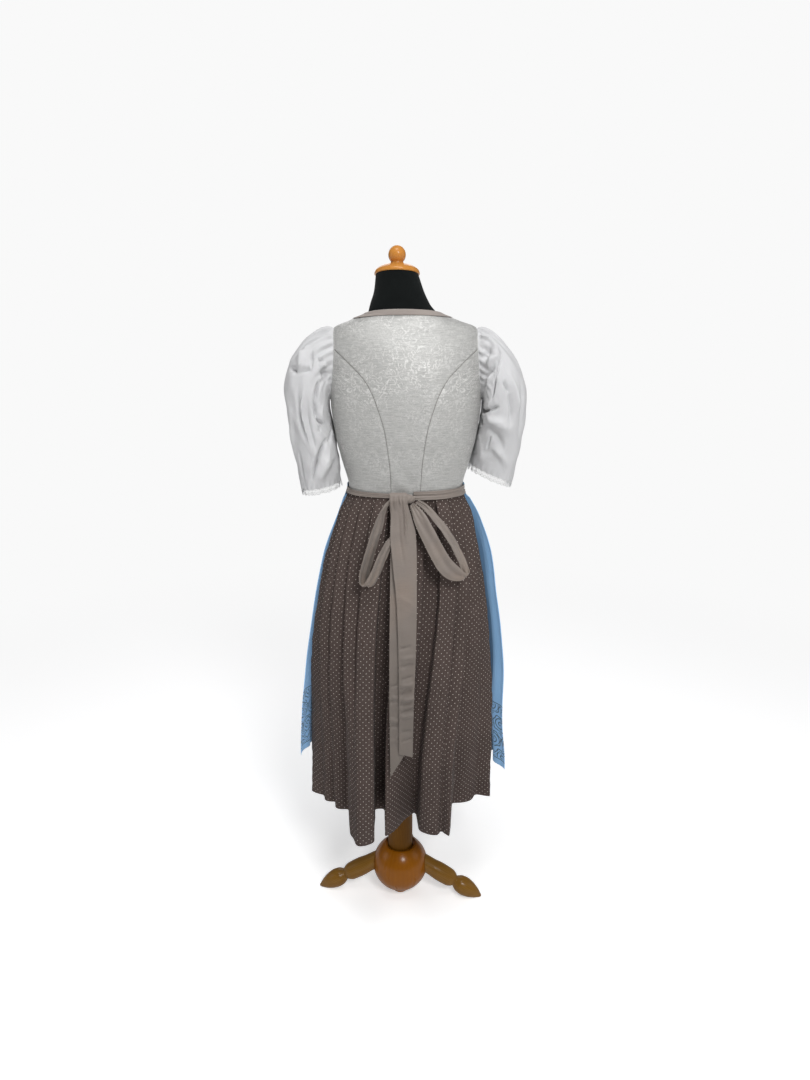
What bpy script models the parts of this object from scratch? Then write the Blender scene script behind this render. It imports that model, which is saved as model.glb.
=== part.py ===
"""A dirndl dress with its blouse and apron, on a dress form with a turned wooden stand.

Metres, +Z up. The origin is on the floor, under the pole's axis. The garment's front faces -Y and
the wearer's left side is +X. Turns are in degrees round +Z: 0 is the left side, 90 the centre
back, 180 the right side and 270 the centre front.
"""
import math
from collections import namedtuple

import bmesh
import bpy
import numpy as np

# ---------------------------------------------------------------- driving dimensions
GAP = 0.0003                 # between pieces that touch or are sewn together
SEAM_PULL = GAP / 2          # each side of a seam draws back by this much

WAIST_Z = 1.0562             # waist seam
HEM_Z = 0.280                # skirt hem
NECK_TOP_Z = 1.507           # top of the cloth-covered neck
FORM_FOOT_Z = 0.760          # underside of the dress form

BODICE_WALL = 0.0018
BLOUSE_WALL = 0.0012
SKIRT_WALL = 0.0015
APRON_WALL = 0.0012
RIBBON_WALL = 0.0014
BLOUSE_DEPTH = 0.0042        # how far the blouse lies under the bodice's outer face
FORM_DEPTH = 0.0068          # how far the form lies under the bodice's outer face

ROUND_POWER = 2.2            # 2 is an ellipse, larger is squarer

# Outer face of the bodice, and of the form above and below it.
Section = namedtuple("Section", "z half back front shift")
BODY = [
    Section(0.760, 0.118, 0.082, 0.080, 0.000),
    Section(0.800, 0.140, 0.100, 0.098, -0.003),
    Section(0.860, 0.153, 0.110, 0.108, -0.006),
    Section(0.930, 0.149, 0.104, 0.106, -0.009),
    Section(1.000, 0.137, 0.094, 0.098, -0.012),
    Section(1.056, 0.1262, 0.088, 0.092, -0.0135),
    Section(1.129, 0.144, 0.096, 0.108, -0.014),
    Section(1.184, 0.156, 0.104, 0.126, -0.014),
    Section(1.250, 0.163, 0.107, 0.134, -0.014),
    Section(1.300, 0.163, 0.104, 0.122, -0.014),
    Section(1.350, 0.161, 0.094, 0.100, -0.014),
    Section(1.385, 0.157, 0.077, 0.075, -0.013),
    Section(1.402, 0.149, 0.063, 0.058, -0.012),
    Section(1.416, 0.115, 0.055, 0.047, -0.010),
    Section(1.428, 0.0825, 0.052, 0.043, -0.0085),
    Section(1.438, 0.0768, 0.0505, 0.0425, -0.0055),
    Section(1.452, 0.0688, 0.0485, 0.042, -0.0015),
    Section(1.474, 0.0568, 0.047, 0.043, 0.0005),
    Section(1.507, 0.0445, 0.0455, 0.0455, 0.0045),
]

# Hull that the skirt's fold edges lie on.
SKIRT = [
    Section(0.280, 0.2245, 0.170, 0.187, -0.0025),
    Section(0.474, 0.2205, 0.166, 0.183, -0.0045),
    Section(0.601, 0.214, 0.159, 0.175, -0.004),
    Section(0.701, 0.203, 0.150, 0.165, -0.004),
    Section(0.798, 0.1875, 0.138, 0.150, -0.0055),
    Section(0.903, 0.168, 0.120, 0.130, -0.008),
    Section(1.003, 0.142, 0.100, 0.107, -0.012),
    Section(1.0562, 0.1262, 0.088, 0.092, -0.0135),
]

# Hull of the apron, outside the skirt.
APRON = [
    Section(0.335, 0.2475, 0.200, 0.222, -0.0065),
    Section(0.380, 0.2465, 0.198, 0.220, -0.006),
    Section(0.474, 0.2400, 0.192, 0.214, -0.004),
    Section(0.601, 0.2340, 0.184, 0.203, -0.010),
    Section(0.701, 0.2240, 0.172, 0.190, -0.013),
    Section(0.798, 0.2090, 0.155, 0.172, -0.014),
    Section(0.903, 0.1880, 0.135, 0.149, -0.018),
    Section(0.990, 0.1570, 0.110, 0.123, -0.019),
    Section(1.0357, 0.1365, 0.096, 0.103, -0.0145),
]

# Back princess seam: half distance from the centre back at each height.
SeamPoint = namedtuple("SeamPoint", "z x")
PRINCESS = [
    SeamPoint(1.0565, 0.031), SeamPoint(1.115, 0.034), SeamPoint(1.150, 0.038),
    SeamPoint(1.192, 0.0445), SeamPoint(1.231, 0.0555), SeamPoint(1.268, 0.069),
    SeamPoint(1.298, 0.0865), SeamPoint(1.328, 0.1155),
]
PRINCESS_TOP_Z = 1.358       # where it runs into the armhole

# Armhole: an oval seen from the side.
ARMHOLE_Z = 1.325
ARMHOLE_HALF_HEIGHT = 0.077
ARMHOLE_HALF_WIDTH = 0.040
UNDERARM_Z = ARMHOLE_Z - ARMHOLE_HALF_HEIGHT
SHOULDER_TIP_Z = ARMHOLE_Z + ARMHOLE_HALF_HEIGHT
NECK_POINT_Z = 1.428
BACK_NECK_Z = 1.438
SEAM_LEVELS = 9              # rows of points along the princess and side seams
ARMHOLE_LEVELS = 5           # rows of points along the upper back armhole
SHOULDER_LEVELS = 5          # rows of points along the shoulder seam

# Front neckline, half of it, from the centre front up to the neck point on the shoulder seam.
NeckPoint = namedtuple("NeckPoint", "x z")
FRONT_NECK = [
    NeckPoint(0.000, 1.288), NeckPoint(0.048, 1.289), NeckPoint(0.074, 1.297),
    NeckPoint(0.0825, 1.319), NeckPoint(0.0840, 1.352), NeckPoint(0.0845, 1.386),
    NeckPoint(0.0840, 1.408), NeckPoint(0.0835, 1.420), NeckPoint(0.0825, NECK_POINT_Z),
]
BINDING_WIDTH = 0.0125
BINDING_WALL = 0.0013
BINDING_LIFT = 0.0011

# Skirt folds across the back, from the wearer's left to the right. Each row is one knife pleat:
# the turn of its step on the hull at the hem, its root (the hidden inner fold) and its crest (the
# outer fold) at the hem, and whether the root (+1) or the crest (-1) comes first.
Pleat = namedtuple("Pleat", "hem_turn root_x root_y crest_x crest_y lead")
BACK_PLEATS = [
    Pleat(-3.0, 0.2120, -0.019, 0.2225, -0.010, 1),
    Pleat(30.0, 0.1880, 0.012, 0.1840, 0.034, 1),
    Pleat(43.0, 0.1590, 0.040, 0.1570, 0.064, 1),
    Pleat(56.5, 0.1240, 0.070, 0.1160, 0.150, 1),
    Pleat(64.0, 0.1080, 0.182, 0.0970, 0.209, 1),
    Pleat(75.0, 0.0490, 0.072, 0.0570, 0.198, -1),
    Pleat(81.0, 0.0370, 0.076, 0.0340, 0.178, 1),
    Pleat(94.0, -0.0330, 0.086, -0.0080, 0.119, -1),
    Pleat(101.0, -0.0380, 0.092, -0.0440, 0.155, 1),
    Pleat(113.0, -0.0950, 0.155, -0.0880, 0.171, -1),
    Pleat(122.0, -0.1280, 0.046, -0.1130, 0.175, -1),
    Pleat(144.0, -0.1860, 0.008, -0.1740, 0.030, -1),
    Pleat(170.0, -0.2240, -0.006, -0.2220, 0.018, -1),
]
FRONT_PLEATS = 13            # knife pleats under the apron
FRONT_FOLD_IN = 0.030        # mean depth of their roots at the hem
WAIST_STEP = 0.0012          # half height of a pleat's step at the waist seam
HIP_STEP = 0.0055            # and a hand's breadth below it
STEP_SKEW = 1.1              # degrees between a crest and its root at the waist
FOLDS_START = 0.20           # share of the length above which the hem's folds don't show
SKIRT_ROWS = 9

# Apron
APRON_TOP_Z = 1.0357
APRON_HEM_Z = 0.335
APRON_EDGE_RISE = (0.015, 0.055)             # the hem lifts by this much at its right, left edge
APRON_START, APRON_END = 180.5, 359.5        # turns of its edges under the waistband
APRON_FLARE = 2.5                            # degrees that each edge swings back by, at the hem
APRON_GATHERS = 22
APRON_FOLDS = 8
APRON_COLUMNS = 48
APRON_ROWS = 8
BAND_LOW_Z, BAND_HIGH_Z = 1.036, 1.066
BAND_WALL = 0.0020
BAND_LIFT = 0.0024

# Sleeves: rings from the armhole to the cuff, in the body's own x.
SleeveRing = namedtuple("SleeveRing", "out_x out_z in_x in_z deep in_y")
LEFT_SLEEVE = [
    SleeveRing(0.167, 1.3975, 0.1695, 1.242, 0.050, 0.000),
    SleeveRing(0.188, 1.390, 0.1715, 1.230, 0.061, 0.000),
    SleeveRing(0.218, 1.370, 0.1720, 1.213, 0.069, 0.000),
    SleeveRing(0.247, 1.331, 0.1700, 1.194, 0.073, 0.000),
    SleeveRing(0.262, 1.279, 0.1665, 1.170, 0.072, 0.000),
    SleeveRing(0.259, 1.225, 0.1615, 1.145, 0.069, 0.000),
    SleeveRing(0.248, 1.148, 0.1530, 1.108, 0.065, 0.000),
    SleeveRing(0.233, 1.056, 0.1455, 1.072, 0.059, 0.000),
]
RIGHT_SLEEVE = [
    SleeveRing(0.163, 1.3975, 0.1695, 1.243, 0.050, 0.000),
    SleeveRing(0.180, 1.390, 0.1715, 1.232, 0.061, 0.000),
    SleeveRing(0.208, 1.368, 0.1720, 1.218, 0.069, 0.000),
    SleeveRing(0.237, 1.331, 0.1700, 1.201, 0.073, -0.003),
    SleeveRing(0.258, 1.281, 0.1665, 1.180, 0.072, -0.008),
    SleeveRing(0.261, 1.228, 0.1615, 1.159, 0.069, -0.013),
    SleeveRing(0.253, 1.153, 0.1520, 1.135, 0.065, -0.021),
    SleeveRing(0.236, 1.072, 0.1450, 1.108, 0.059, -0.028),
]
SLEEVE_COLUMNS = 36
SLEEVE_GATHERS = 9
ARMHOLE_CLEAR = 0.0016       # between the sleeve's head and the bodice's armhole edge
LACE_DROP = 0.0125
LACE_SCALLOP = 0.0040
LACE_WALL = 0.0010

# Ribbon pieces of the bow: stations along each strand.
Station = namedtuple("Station", "x y z wide_x wide_y wide_z")
BOW_LEFT = [
    Station(0.0171, 0.1060, 1.0497, 0.0010, 0.0040, 0.0030),
    Station(0.0330, 0.1230, 1.0300, 0.0050, 0.0090, 0.0040),
    Station(0.0450, 0.1370, 0.9980, 0.0090, 0.0130, 0.0050),
    Station(0.0570, 0.1450, 0.9600, 0.0100, 0.0140, 0.0050),
    Station(0.0685, 0.1490, 0.9210, 0.0100, 0.0140, 0.0050),
    Station(0.0750, 0.1510, 0.8920, 0.0100, 0.0140, 0.0050),
    Station(0.0735, 0.1520, 0.8760, 0.0100, 0.0140, 0.0050),
    Station(0.0650, 0.1525, 0.8750, 0.0100, 0.0140, 0.0050),
    Station(0.0555, 0.1520, 0.8890, 0.0100, 0.0140, 0.0050),
    Station(0.0450, 0.1490, 0.9120, 0.0100, 0.0130, 0.0050),
    Station(0.0350, 0.1430, 0.9360, 0.0090, 0.0100, 0.0060),
    Station(0.0240, 0.1315, 0.9570, 0.0060, 0.0030, 0.0070),
    Station(0.0100, 0.1252, 0.9740, 0.0040, 0.0000, 0.0080),
]
BOW_RIGHT = [
    Station(-0.0262, 0.1105, 1.0420, 0.0040, 0.0030, -0.0030),
    Station(-0.0430, 0.1330, 1.0150, 0.0095, 0.0020, -0.0120),
    Station(-0.0590, 0.1460, 0.9860, 0.0110, 0.0010, -0.0140),
    Station(-0.0770, 0.1540, 0.9520, 0.0115, 0.0010, -0.0145),
    Station(-0.0950, 0.1570, 0.9220, 0.0115, 0.0010, -0.0145),
    Station(-0.1150, 0.1560, 0.9030, 0.0110, 0.0010, -0.0130),
    Station(-0.1345, 0.1500, 0.8930, 0.0070, 0.0000, -0.0080),
    Station(-0.1415, 0.1430, 0.8970, 0.0070, 0.0000, -0.0080),
    Station(-0.1300, 0.1380, 0.9290, 0.0095, 0.0000, -0.0110),
    Station(-0.1150, 0.1345, 0.9610, 0.0095, 0.0000, -0.0110),
    Station(-0.0945, 0.1295, 0.9940, 0.0095, 0.0000, -0.0110),
    Station(-0.0720, 0.1220, 1.0200, 0.0075, 0.0000, -0.0090),
    Station(-0.0530, 0.1145, 1.0380, 0.0055, 0.0000, -0.0060),
    Station(-0.0375, 0.1095, 1.0475, 0.0035, 0.0000, -0.0035),
]
# Tails: at each height, their two edges and how far they hang clear of the skirt's hull.
TailRow = namedtuple("TailRow", "left_z right_z left_x right_x clear")
FRONT_TAIL = [
    TailRow(1.0652, 1.0652, 0.0185, -0.0150, 0.0205),
    TailRow(1.0610, 1.0610, 0.0192, -0.0155, 0.0278),
    TailRow(1.0520, 1.0520, 0.0200, -0.0160, 0.0286),
    TailRow(1.0402, 1.0402, 0.0195, -0.0185, 0.0258),
    TailRow(1.0150, 1.0150, 0.0180, -0.0260, 0.0235),
    TailRow(0.9780, 0.9780, 0.0190, -0.0350, 0.0250),
    TailRow(0.9110, 0.9110, 0.0130, -0.0370, 0.0250),
    TailRow(0.8300, 0.8300, 0.0055, -0.0370, 0.0230),
    TailRow(0.7200, 0.7200, 0.0020, -0.0365, 0.0210),
    TailRow(0.6000, 0.6000, 0.0010, -0.0360, 0.0210),
    TailRow(0.4850, 0.4850, 0.0010, -0.0360, 0.0220),
]
BACK_TAIL = [
    TailRow(1.0396, 1.0396, 0.0110, -0.0150, 0.0115),
    TailRow(1.0150, 1.0150, 0.0115, -0.0155, 0.0130),
    TailRow(0.9850, 0.9850, 0.0130, -0.0160, 0.0130),
    TailRow(0.9300, 0.9300, 0.0190, -0.0160, 0.0130),
    TailRow(0.8530, 0.8530, 0.0200, -0.0160, 0.0120),
    TailRow(0.7400, 0.7400, 0.0215, -0.0160, 0.0120),
    TailRow(0.6240, 0.6240, 0.0220, -0.0160, 0.0130),
    TailRow(0.5400, 0.5400, 0.0215, -0.0160, 0.0150),
    TailRow(0.4380, 0.4980, 0.0200, -0.0150, 0.0160),
]
KNOT_CENTRE = (-0.0080, 0.1052, 1.0520)
KNOT_HALF = (0.0255, 0.0118, 0.0115)

# Stand
POLE_RADIUS = 0.0308
BALL_RADIUS = 0.069
BALL_Z = 0.078
SOCKET_RADIUS = 0.0318
SOCKET_FLOOR_Z = 0.118
GROOVE_RADIUS = 0.0385
PEG_RADIUS = 0.019
LEG_TURNS = {"leg_left": -2.0, "leg_right": 171.0, "leg_front": 265.0}
LEG_AXIS_OUT = 0.0675        # a point on each leg's axis: its distance from the pole's axis
LEG_AXIS_Z = 0.080           # and its height
LEG_SLOPE = math.radians(29.5)
LegRing = namedtuple("LegRing", "along radius")
LEG_PROFILE = [
    LegRing(0.004, 0.0205), LegRing(0.030, 0.0225), LegRing(0.056, 0.0215), LegRing(0.068, 0.0170),
    LegRing(0.0725, 0.0135), LegRing(0.077, 0.0160), LegRing(0.086, 0.0208), LegRing(0.100, 0.0226),
    LegRing(0.116, 0.0200), LegRing(0.134, 0.0130), LegRing(0.148, 0.0045),
]
KNOB_RADIUS = 0.0182
KNOB_Z = 1.5468
CAP_RADIUS = 0.0475

BLACK = (0.012, 0.012, 0.014)
HONEY = (0.46, 0.20, 0.055)
AMBER = (0.34, 0.11, 0.03)
OLIVE = (0.30, 0.16, 0.045)
SILVER = (0.52, 0.50, 0.47)
WHITE = (0.80, 0.81, 0.83)
TAUPE = (0.30, 0.25, 0.22)
BROWN = (0.115, 0.085, 0.075)
BLUE = (0.25, 0.45, 0.66)


# ---------------------------------------------------------------- scene helpers
def clear_scene():
    """Remove every object of the scene."""
    for item in list(bpy.data.objects):
        bpy.data.objects.remove(item, do_unlink=True)


def finish(mesh_object, colour, roughness, metallic=0.0, smooth=True):
    """Give an object its own material and shading, and put it in the model's collection."""
    material = bpy.data.materials.new(mesh_object.name + "_material")
    material.use_nodes = True
    shader = material.node_tree.nodes["Principled BSDF"]
    shader.inputs["Base Color"].default_value = (*colour, 1.0)
    shader.inputs["Roughness"].default_value = roughness
    shader.inputs["Metallic"].default_value = metallic
    mesh_object.data.materials.append(material)
    if smooth:
        mesh_object.data.shade_smooth()
        mesh_object.data.set_sharp_from_angle(angle=math.radians(50.0))
    collection = bpy.data.collections["dirndl_on_form"]
    for other in list(mesh_object.users_collection):
        other.objects.unlink(mesh_object)
    collection.objects.link(mesh_object)
    return mesh_object


def object_from_bmesh(name, bm):
    """Turn a bmesh into an object with its faces pointing out."""
    bmesh.ops.recalc_face_normals(bm, faces=bm.faces)
    mesh = bpy.data.meshes.new(name)
    bm.to_mesh(mesh)
    bm.free()
    item = bpy.data.objects.new(name, mesh)
    bpy.context.scene.collection.objects.link(item)
    return item


def wall(name, outer, inner, closed=False):
    """Closed cloth wall between two grids of points, rows by columns."""
    rows, columns = outer.shape[:2]
    bm = bmesh.new()
    sides = [[[bm.verts.new(grid[r, c]) for c in range(columns)] for r in range(rows)]
             for grid in (outer, inner)]
    last = columns if closed else columns - 1
    for r in range(rows - 1):
        for c in range(last):
            n = (c + 1) % columns
            for side in sides:
                bm.faces.new((side[r][c], side[r][n], side[r + 1][n], side[r + 1][c]))
    for c in range(last):
        n = (c + 1) % columns
        for r in (0, rows - 1):
            bm.faces.new((sides[0][r][c], sides[0][r][n], sides[1][r][n], sides[1][r][c]))
    if not closed:
        for r in range(rows - 1):
            for c in (0, columns - 1):
                bm.faces.new((sides[0][r][c], sides[0][r + 1][c],
                              sides[1][r + 1][c], sides[1][r][c]))
    return object_from_bmesh(name, bm)


def grid_normals(grid, closed=False):
    """Unit normals of a grid of points, from its central differences."""
    if closed:
        along = np.roll(grid, -1, axis=1) - np.roll(grid, 1, axis=1)
    else:
        along = np.gradient(grid, axis=1)
    up = np.gradient(grid, axis=0)
    normal = np.cross(along, up)
    return normal / np.linalg.norm(normal, axis=2, keepdims=True)


def pulled(grid, left=False, right=False, bottom=False, top=False):
    """Draw the sewn edges of a grid back from their seams."""
    grid = grid.copy()

    def draw(edge, neighbour):
        step = neighbour - edge
        return edge + SEAM_PULL * step / np.linalg.norm(step, axis=-1, keepdims=True)

    if left:
        grid[:, 0] = draw(grid[:, 0], grid[:, 1])
    if right:
        grid[:, -1] = draw(grid[:, -1], grid[:, -2])
    if bottom:
        grid[0] = draw(grid[0], grid[1])
    if top:
        grid[-1] = draw(grid[-1], grid[-2])
    return grid


# ---------------------------------------------------------------- hulls
def smooth_value(xs, ys, x):
    """Smooth curve through table values, without overshoot."""
    i = int(np.clip(np.searchsorted(xs, x) - 1, 0, len(xs) - 2))
    slopes = np.diff(ys) / np.diff(xs)

    def tangent(k):
        if k in (0, len(xs) - 1):
            return slopes[0] if k == 0 else slopes[-1]
        if slopes[k - 1] * slopes[k] <= 0.0:
            return 0.0
        return 2.0 * slopes[k - 1] * slopes[k] / (slopes[k - 1] + slopes[k])

    span = xs[i + 1] - xs[i]
    t = float(np.clip((x - xs[i]) / span, 0.0, 1.0))
    return ((2 * t**3 - 3 * t**2 + 1) * ys[i] + (t**3 - 2 * t**2 + t) * span * tangent(i)
            + (3 * t**2 - 2 * t**3) * ys[i + 1] + (t**3 - t**2) * span * tangent(i + 1))


def section_at(table, z):
    """Section of a hull at a height."""
    heights = np.array([row.z for row in table])
    values = [smooth_value(heights, np.array([getattr(row, field) for row in table]), z)
              for field in ("half", "back", "front", "shift")]
    return Section(z, *values)


def signed_power(value, power):
    """Power that keeps the sign."""
    return math.copysign(abs(value) ** power, value)


def hull_point(table, turn, z):
    """Point of a hull at a turn and a height."""
    row = section_at(table, z)
    cosine, sine = math.cos(math.radians(turn)), math.sin(math.radians(turn))
    depth = row.back if sine >= 0.0 else row.front
    return np.array([row.shift + row.half * signed_power(cosine, 2.0 / ROUND_POWER),
                     depth * signed_power(sine, 2.0 / ROUND_POWER), z])


def hull_normal(table, turn, z):
    """Outward normal of a hull."""
    turn_step, rise = 0.5, 0.0015
    low, high = table[0].z, table[-1].z
    along = hull_point(table, turn + turn_step, z) - hull_point(table, turn - turn_step, z)
    up = (hull_point(table, turn, min(z + rise, high))
          - hull_point(table, turn, max(z - rise, low)))
    normal = np.cross(along, up)
    return normal / np.linalg.norm(normal)


def hull_offset(table, turn, z, lift):
    """Point at a distance outside a hull."""
    return hull_point(table, turn, z) + lift * hull_normal(table, turn, z)


def turn_from_depth(y, z):
    """Turn, 0 to 90 or -90 to 0, where the body's outline at a height has this y."""
    row = section_at(BODY, z)
    depth = row.back if y >= 0.0 else row.front
    share = min(abs(y) / depth, 1.0)
    return math.copysign(math.degrees(math.asin(share ** (ROUND_POWER / 2.0))), y)


def turn_from_side(x, z):
    """Turn between 0 and 90 where the body's back has this distance from its centre."""
    row = section_at(BODY, z)
    return math.degrees(math.acos(min(abs(x) / row.half, 1.0) ** (ROUND_POWER / 2.0)))


def armhole_point(angle):
    """Turn and height on the left armhole: 0 is the shoulder tip, 90 the back, 180 underarm."""
    y = ARMHOLE_HALF_WIDTH * math.sin(math.radians(angle))
    z = ARMHOLE_Z + ARMHOLE_HALF_HEIGHT * math.cos(math.radians(angle))
    return turn_from_depth(y, z), z


# ---------------------------------------------------------------- bodice and blouse body
def princess_path():
    """Turns and heights up the left back princess seam."""
    top_turn, top_z = armhole_point(armhole_angle_at_seam())
    shift = section_at(BODY, top_z).shift
    heights = np.array([point.z for point in PRINCESS] + [top_z])
    sides = np.array([point.x for point in PRINCESS] + [hull_point(BODY, top_turn, top_z)[0] - shift])
    fine = np.linspace(heights[0], heights[-1], 60)
    fine_sides = np.array([smooth_value(heights, sides, z) for z in fine])
    length = np.concatenate([[0.0], np.cumsum(np.hypot(np.diff(fine), np.diff(fine_sides)))])
    levels = np.interp(np.linspace(0.0, length[-1], SEAM_LEVELS), length, fine)
    return [(turn_from_side(smooth_value(heights, sides, z), z), z) for z in levels]


def armhole_angle_at_seam():
    """Angle on the armhole where the princess seam ends."""
    return math.degrees(math.acos((PRINCESS_TOP_Z - ARMHOLE_Z) / ARMHOLE_HALF_HEIGHT))


def shoulder_path():
    """Turns and heights of the shoulder seam from the armhole to the neck."""
    return [(0.0, z) for z in np.linspace(SHOULDER_TIP_Z, NECK_POINT_Z, SHOULDER_LEVELS + 1)]


def body_walls(name, turns_heights, pulls, outer_lift=0.0, thickness=BODICE_WALL, flip=False):
    """Wall on the body's hull, from a grid of turns and heights; flip mirrors it left to right."""
    def place(lift):
        grid = np.array([[hull_offset(BODY, 180.0 - t if flip else t, z, lift) for t, z in row]
                         for row in turns_heights])
        return pulled(grid, **pulls)

    return wall(name, place(outer_lift), place(outer_lift - thickness))


def make_bodice_back():
    """Centre back panel, from princess seam to princess seam, up to the shoulder seams."""
    edge = princess_path()
    start = armhole_angle_at_seam()
    edge += [armhole_point(a) for a in np.linspace(start, 0.0, ARMHOLE_LEVELS + 1)[1:]]
    edge += shoulder_path()[1:]
    columns = 14
    rows = []
    for level, (turn, z) in enumerate(edge):
        dip = (NECK_POINT_Z - BACK_NECK_Z) * level / (len(edge) - 1)
        row = []
        for c in range(columns + 1):
            across = 2.0 * c / columns - 1.0
            row.append((90.0 + across * (90.0 - turn), z - dip * (1.0 - across**2)))
        rows.append(row)
    item = body_walls("bodice_back", rows, dict(left=True, right=True, bottom=True))
    return finish(item, SILVER, 0.55)


def make_side_back(name, flip):
    """Side back panel, from the princess seam to the side seam, up to the lower armhole."""
    inner = princess_path()
    side_levels = np.linspace(PRINCESS[0].z, UNDERARM_Z, SEAM_LEVELS)
    start = armhole_angle_at_seam()
    columns = 8
    rows = []
    for level in range(SEAM_LEVELS):
        rise = level / (SEAM_LEVELS - 1)
        row = []
        for c in range(columns + 1):
            across = c / columns
            turn = inner[level][0] * (1.0 - across)
            z = inner[level][1] * (1.0 - across) + side_levels[level] * across
            top_turn, top_z = armhole_point(start + (180.0 - start) * across)
            line_turn = inner[-1][0] * (1.0 - across)
            line_z = inner[-1][1] * (1.0 - across) + UNDERARM_Z * across
            weight = rise**2
            row.append((turn + weight * (top_turn - line_turn), z + weight * (top_z - line_z)))
        rows.append(row)
    item = body_walls(name, rows, dict(left=True, right=True, bottom=True), flip=flip)
    return finish(item, SILVER, 0.55)


def front_neck_path(count):
    """Turns and heights up the left front neckline, evenly spaced."""
    marks = np.linspace(0.0, len(FRONT_NECK) - 1, count)
    steps = np.arange(len(FRONT_NECK))
    sides = np.array([point.x for point in FRONT_NECK])
    heights = np.array([point.z for point in FRONT_NECK])
    path = []
    for mark in marks:
        z = smooth_value(steps, heights, mark)
        path.append((360.0 - turn_from_side(smooth_value(steps, sides, mark), z), z))
    return path


def make_front(name, flip):
    """Front from the centre front to the side seam, up to the shoulder seam."""
    neck_levels = 9
    inner = [(270.0, z) for z in np.linspace(PRINCESS[0].z, FRONT_NECK[0].z, SEAM_LEVELS)]
    inner += front_neck_path(neck_levels)[1:]
    outer = [(360.0, z) for z in np.linspace(PRINCESS[0].z, UNDERARM_Z, SEAM_LEVELS)]
    for angle in np.linspace(180.0, 360.0, neck_levels)[1:]:
        turn, z = armhole_point(angle)
        outer.append((360.0 + turn, z))
    columns = 2 * SHOULDER_LEVELS
    rows = []
    for (turn_in, z_in), (turn_out, z_out) in zip(inner, outer):
        rows.append([(turn_in + (turn_out - turn_in) * c / columns,
                      z_in + (z_out - z_in) * c / columns) for c in range(columns + 1)])
    item = body_walls(name, rows, dict(left=True, right=True, bottom=True, top=True), flip=flip)
    return finish(item, SILVER, 0.55)


def make_blouse_front():
    """The part of the blouse that fills the front neckline, tucked under the bodice."""
    reach, bottom, columns, levels = 50.0, 1.235, 16, 6
    rows = []
    for level in range(levels):
        row = []
        for c in range(columns + 1):
            across = 2.0 * c / columns - 1.0
            top = 1.322 + 0.058 * abs(across) ** 3
            row.append((270.0 + reach * across, bottom + (top - bottom) * level / (levels - 1)))
        rows.append(row)
    item = body_walls("blouse_front", rows, {}, outer_lift=-BLOUSE_DEPTH, thickness=BLOUSE_WALL)
    return finish(item, WHITE, 0.8)


def neckline_loop():
    """Turns and heights all round the neckline, anticlockwise from the left neck point."""
    back = [(turn, NECK_POINT_Z + (BACK_NECK_Z - NECK_POINT_Z) * (1.0 - (turn / 90.0 - 1.0) ** 2))
            for turn in np.linspace(0.0, 180.0, 19)]
    left = front_neck_path(14)
    right = [(540.0 - turn, z) for turn, z in reversed(left)]
    return back + right[1:] + left[1:-1]


def make_neck_binding():
    """Flat binding that lies on the bodice along its neckline."""
    loop = neckline_loop()
    count = len(loop)
    inner, outer = [[], []], [[], []]
    for i, (turn, z) in enumerate(loop):
        before = hull_point(BODY, *loop[i - 1])
        after = hull_point(BODY, *loop[(i + 1) % count])
        normal = hull_normal(BODY, turn, z)
        tangent = (after - before) / np.linalg.norm(after - before)
        down = np.cross(tangent, normal)
        down /= np.linalg.norm(down)
        per_turn = hull_point(BODY, turn + 0.5, z) - hull_point(BODY, turn - 0.5, z)
        per_rise = (hull_point(BODY, turn, z + 0.0005) - hull_point(BODY, turn, z - 0.0005)) / 0.001
        basis = np.stack([per_turn, per_rise], axis=1)
        for edge, distance in enumerate((0.0005, BINDING_WIDTH)):
            moved = np.linalg.lstsq(basis, down * distance, rcond=None)[0]
            place = (turn + moved[0], z + moved[1])
            inner[edge].append(hull_offset(BODY, *place, BINDING_LIFT))
            outer[edge].append(hull_offset(BODY, *place, BINDING_LIFT + BINDING_WALL))
    item = wall("neck_binding", np.array(outer), np.array(inner), closed=True)
    return finish(item, TAUPE, 0.6)


# ---------------------------------------------------------------- sleeves
def sleeve_gather(angle, strength):
    """Radial ripple of the gathered sleeve head, strongest on top."""
    crown = 0.5 + 0.5 * math.cos(math.radians(angle))
    return 1.0 + strength * crown * math.cos(SLEEVE_GATHERS * math.radians(angle))


def sleeve_grid(table, side):
    """Grid of points down a sleeve; side is +1 on the wearer's left and -1 on the right."""
    strengths = (0.04, 0.05, 0.04, 0.025, 0.012, 0.005, 0.0, 0.0)
    shift = section_at(BODY, ARMHOLE_Z).shift
    shrink = 1.0 - ARMHOLE_CLEAR / ARMHOLE_HALF_WIDTH
    rows = []
    for inset in (-0.0012, 0.0035):
        row = []
        for c in range(SLEEVE_COLUMNS):
            angle = 360.0 * c / SLEEVE_COLUMNS
            turn, z = armhole_point(angle)
            point = hull_point(BODY, turn, z)
            x = point[0] - shift + inset
            swell = shrink if inset < 0.0 else shrink + 0.012
            row.append((x, point[1] * swell, ARMHOLE_Z + (z - ARMHOLE_Z) * swell))
        rows.append(row)
    for ring, strength in zip(table, strengths):
        centre = ((ring.out_x + ring.in_x) / 2, ring.in_y / 2, (ring.out_z + ring.in_z) / 2)
        reach = ((ring.out_x - ring.in_x) / 2, -ring.in_y / 2, (ring.out_z - ring.in_z) / 2)
        row = []
        for c in range(SLEEVE_COLUMNS):
            angle = 360.0 * c / SLEEVE_COLUMNS
            ripple = sleeve_gather(angle, strength)
            cosine, sine = math.cos(math.radians(angle)), math.sin(math.radians(angle))
            row.append((centre[0] + reach[0] * cosine * ripple,
                        centre[1] + reach[1] * cosine + ring.deep * sine * ripple,
                        centre[2] + reach[2] * cosine * ripple))
        rows.append(row)
    grid = np.array(rows)
    grid[:, :, 0] = shift + side * grid[:, :, 0]
    return grid


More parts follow.
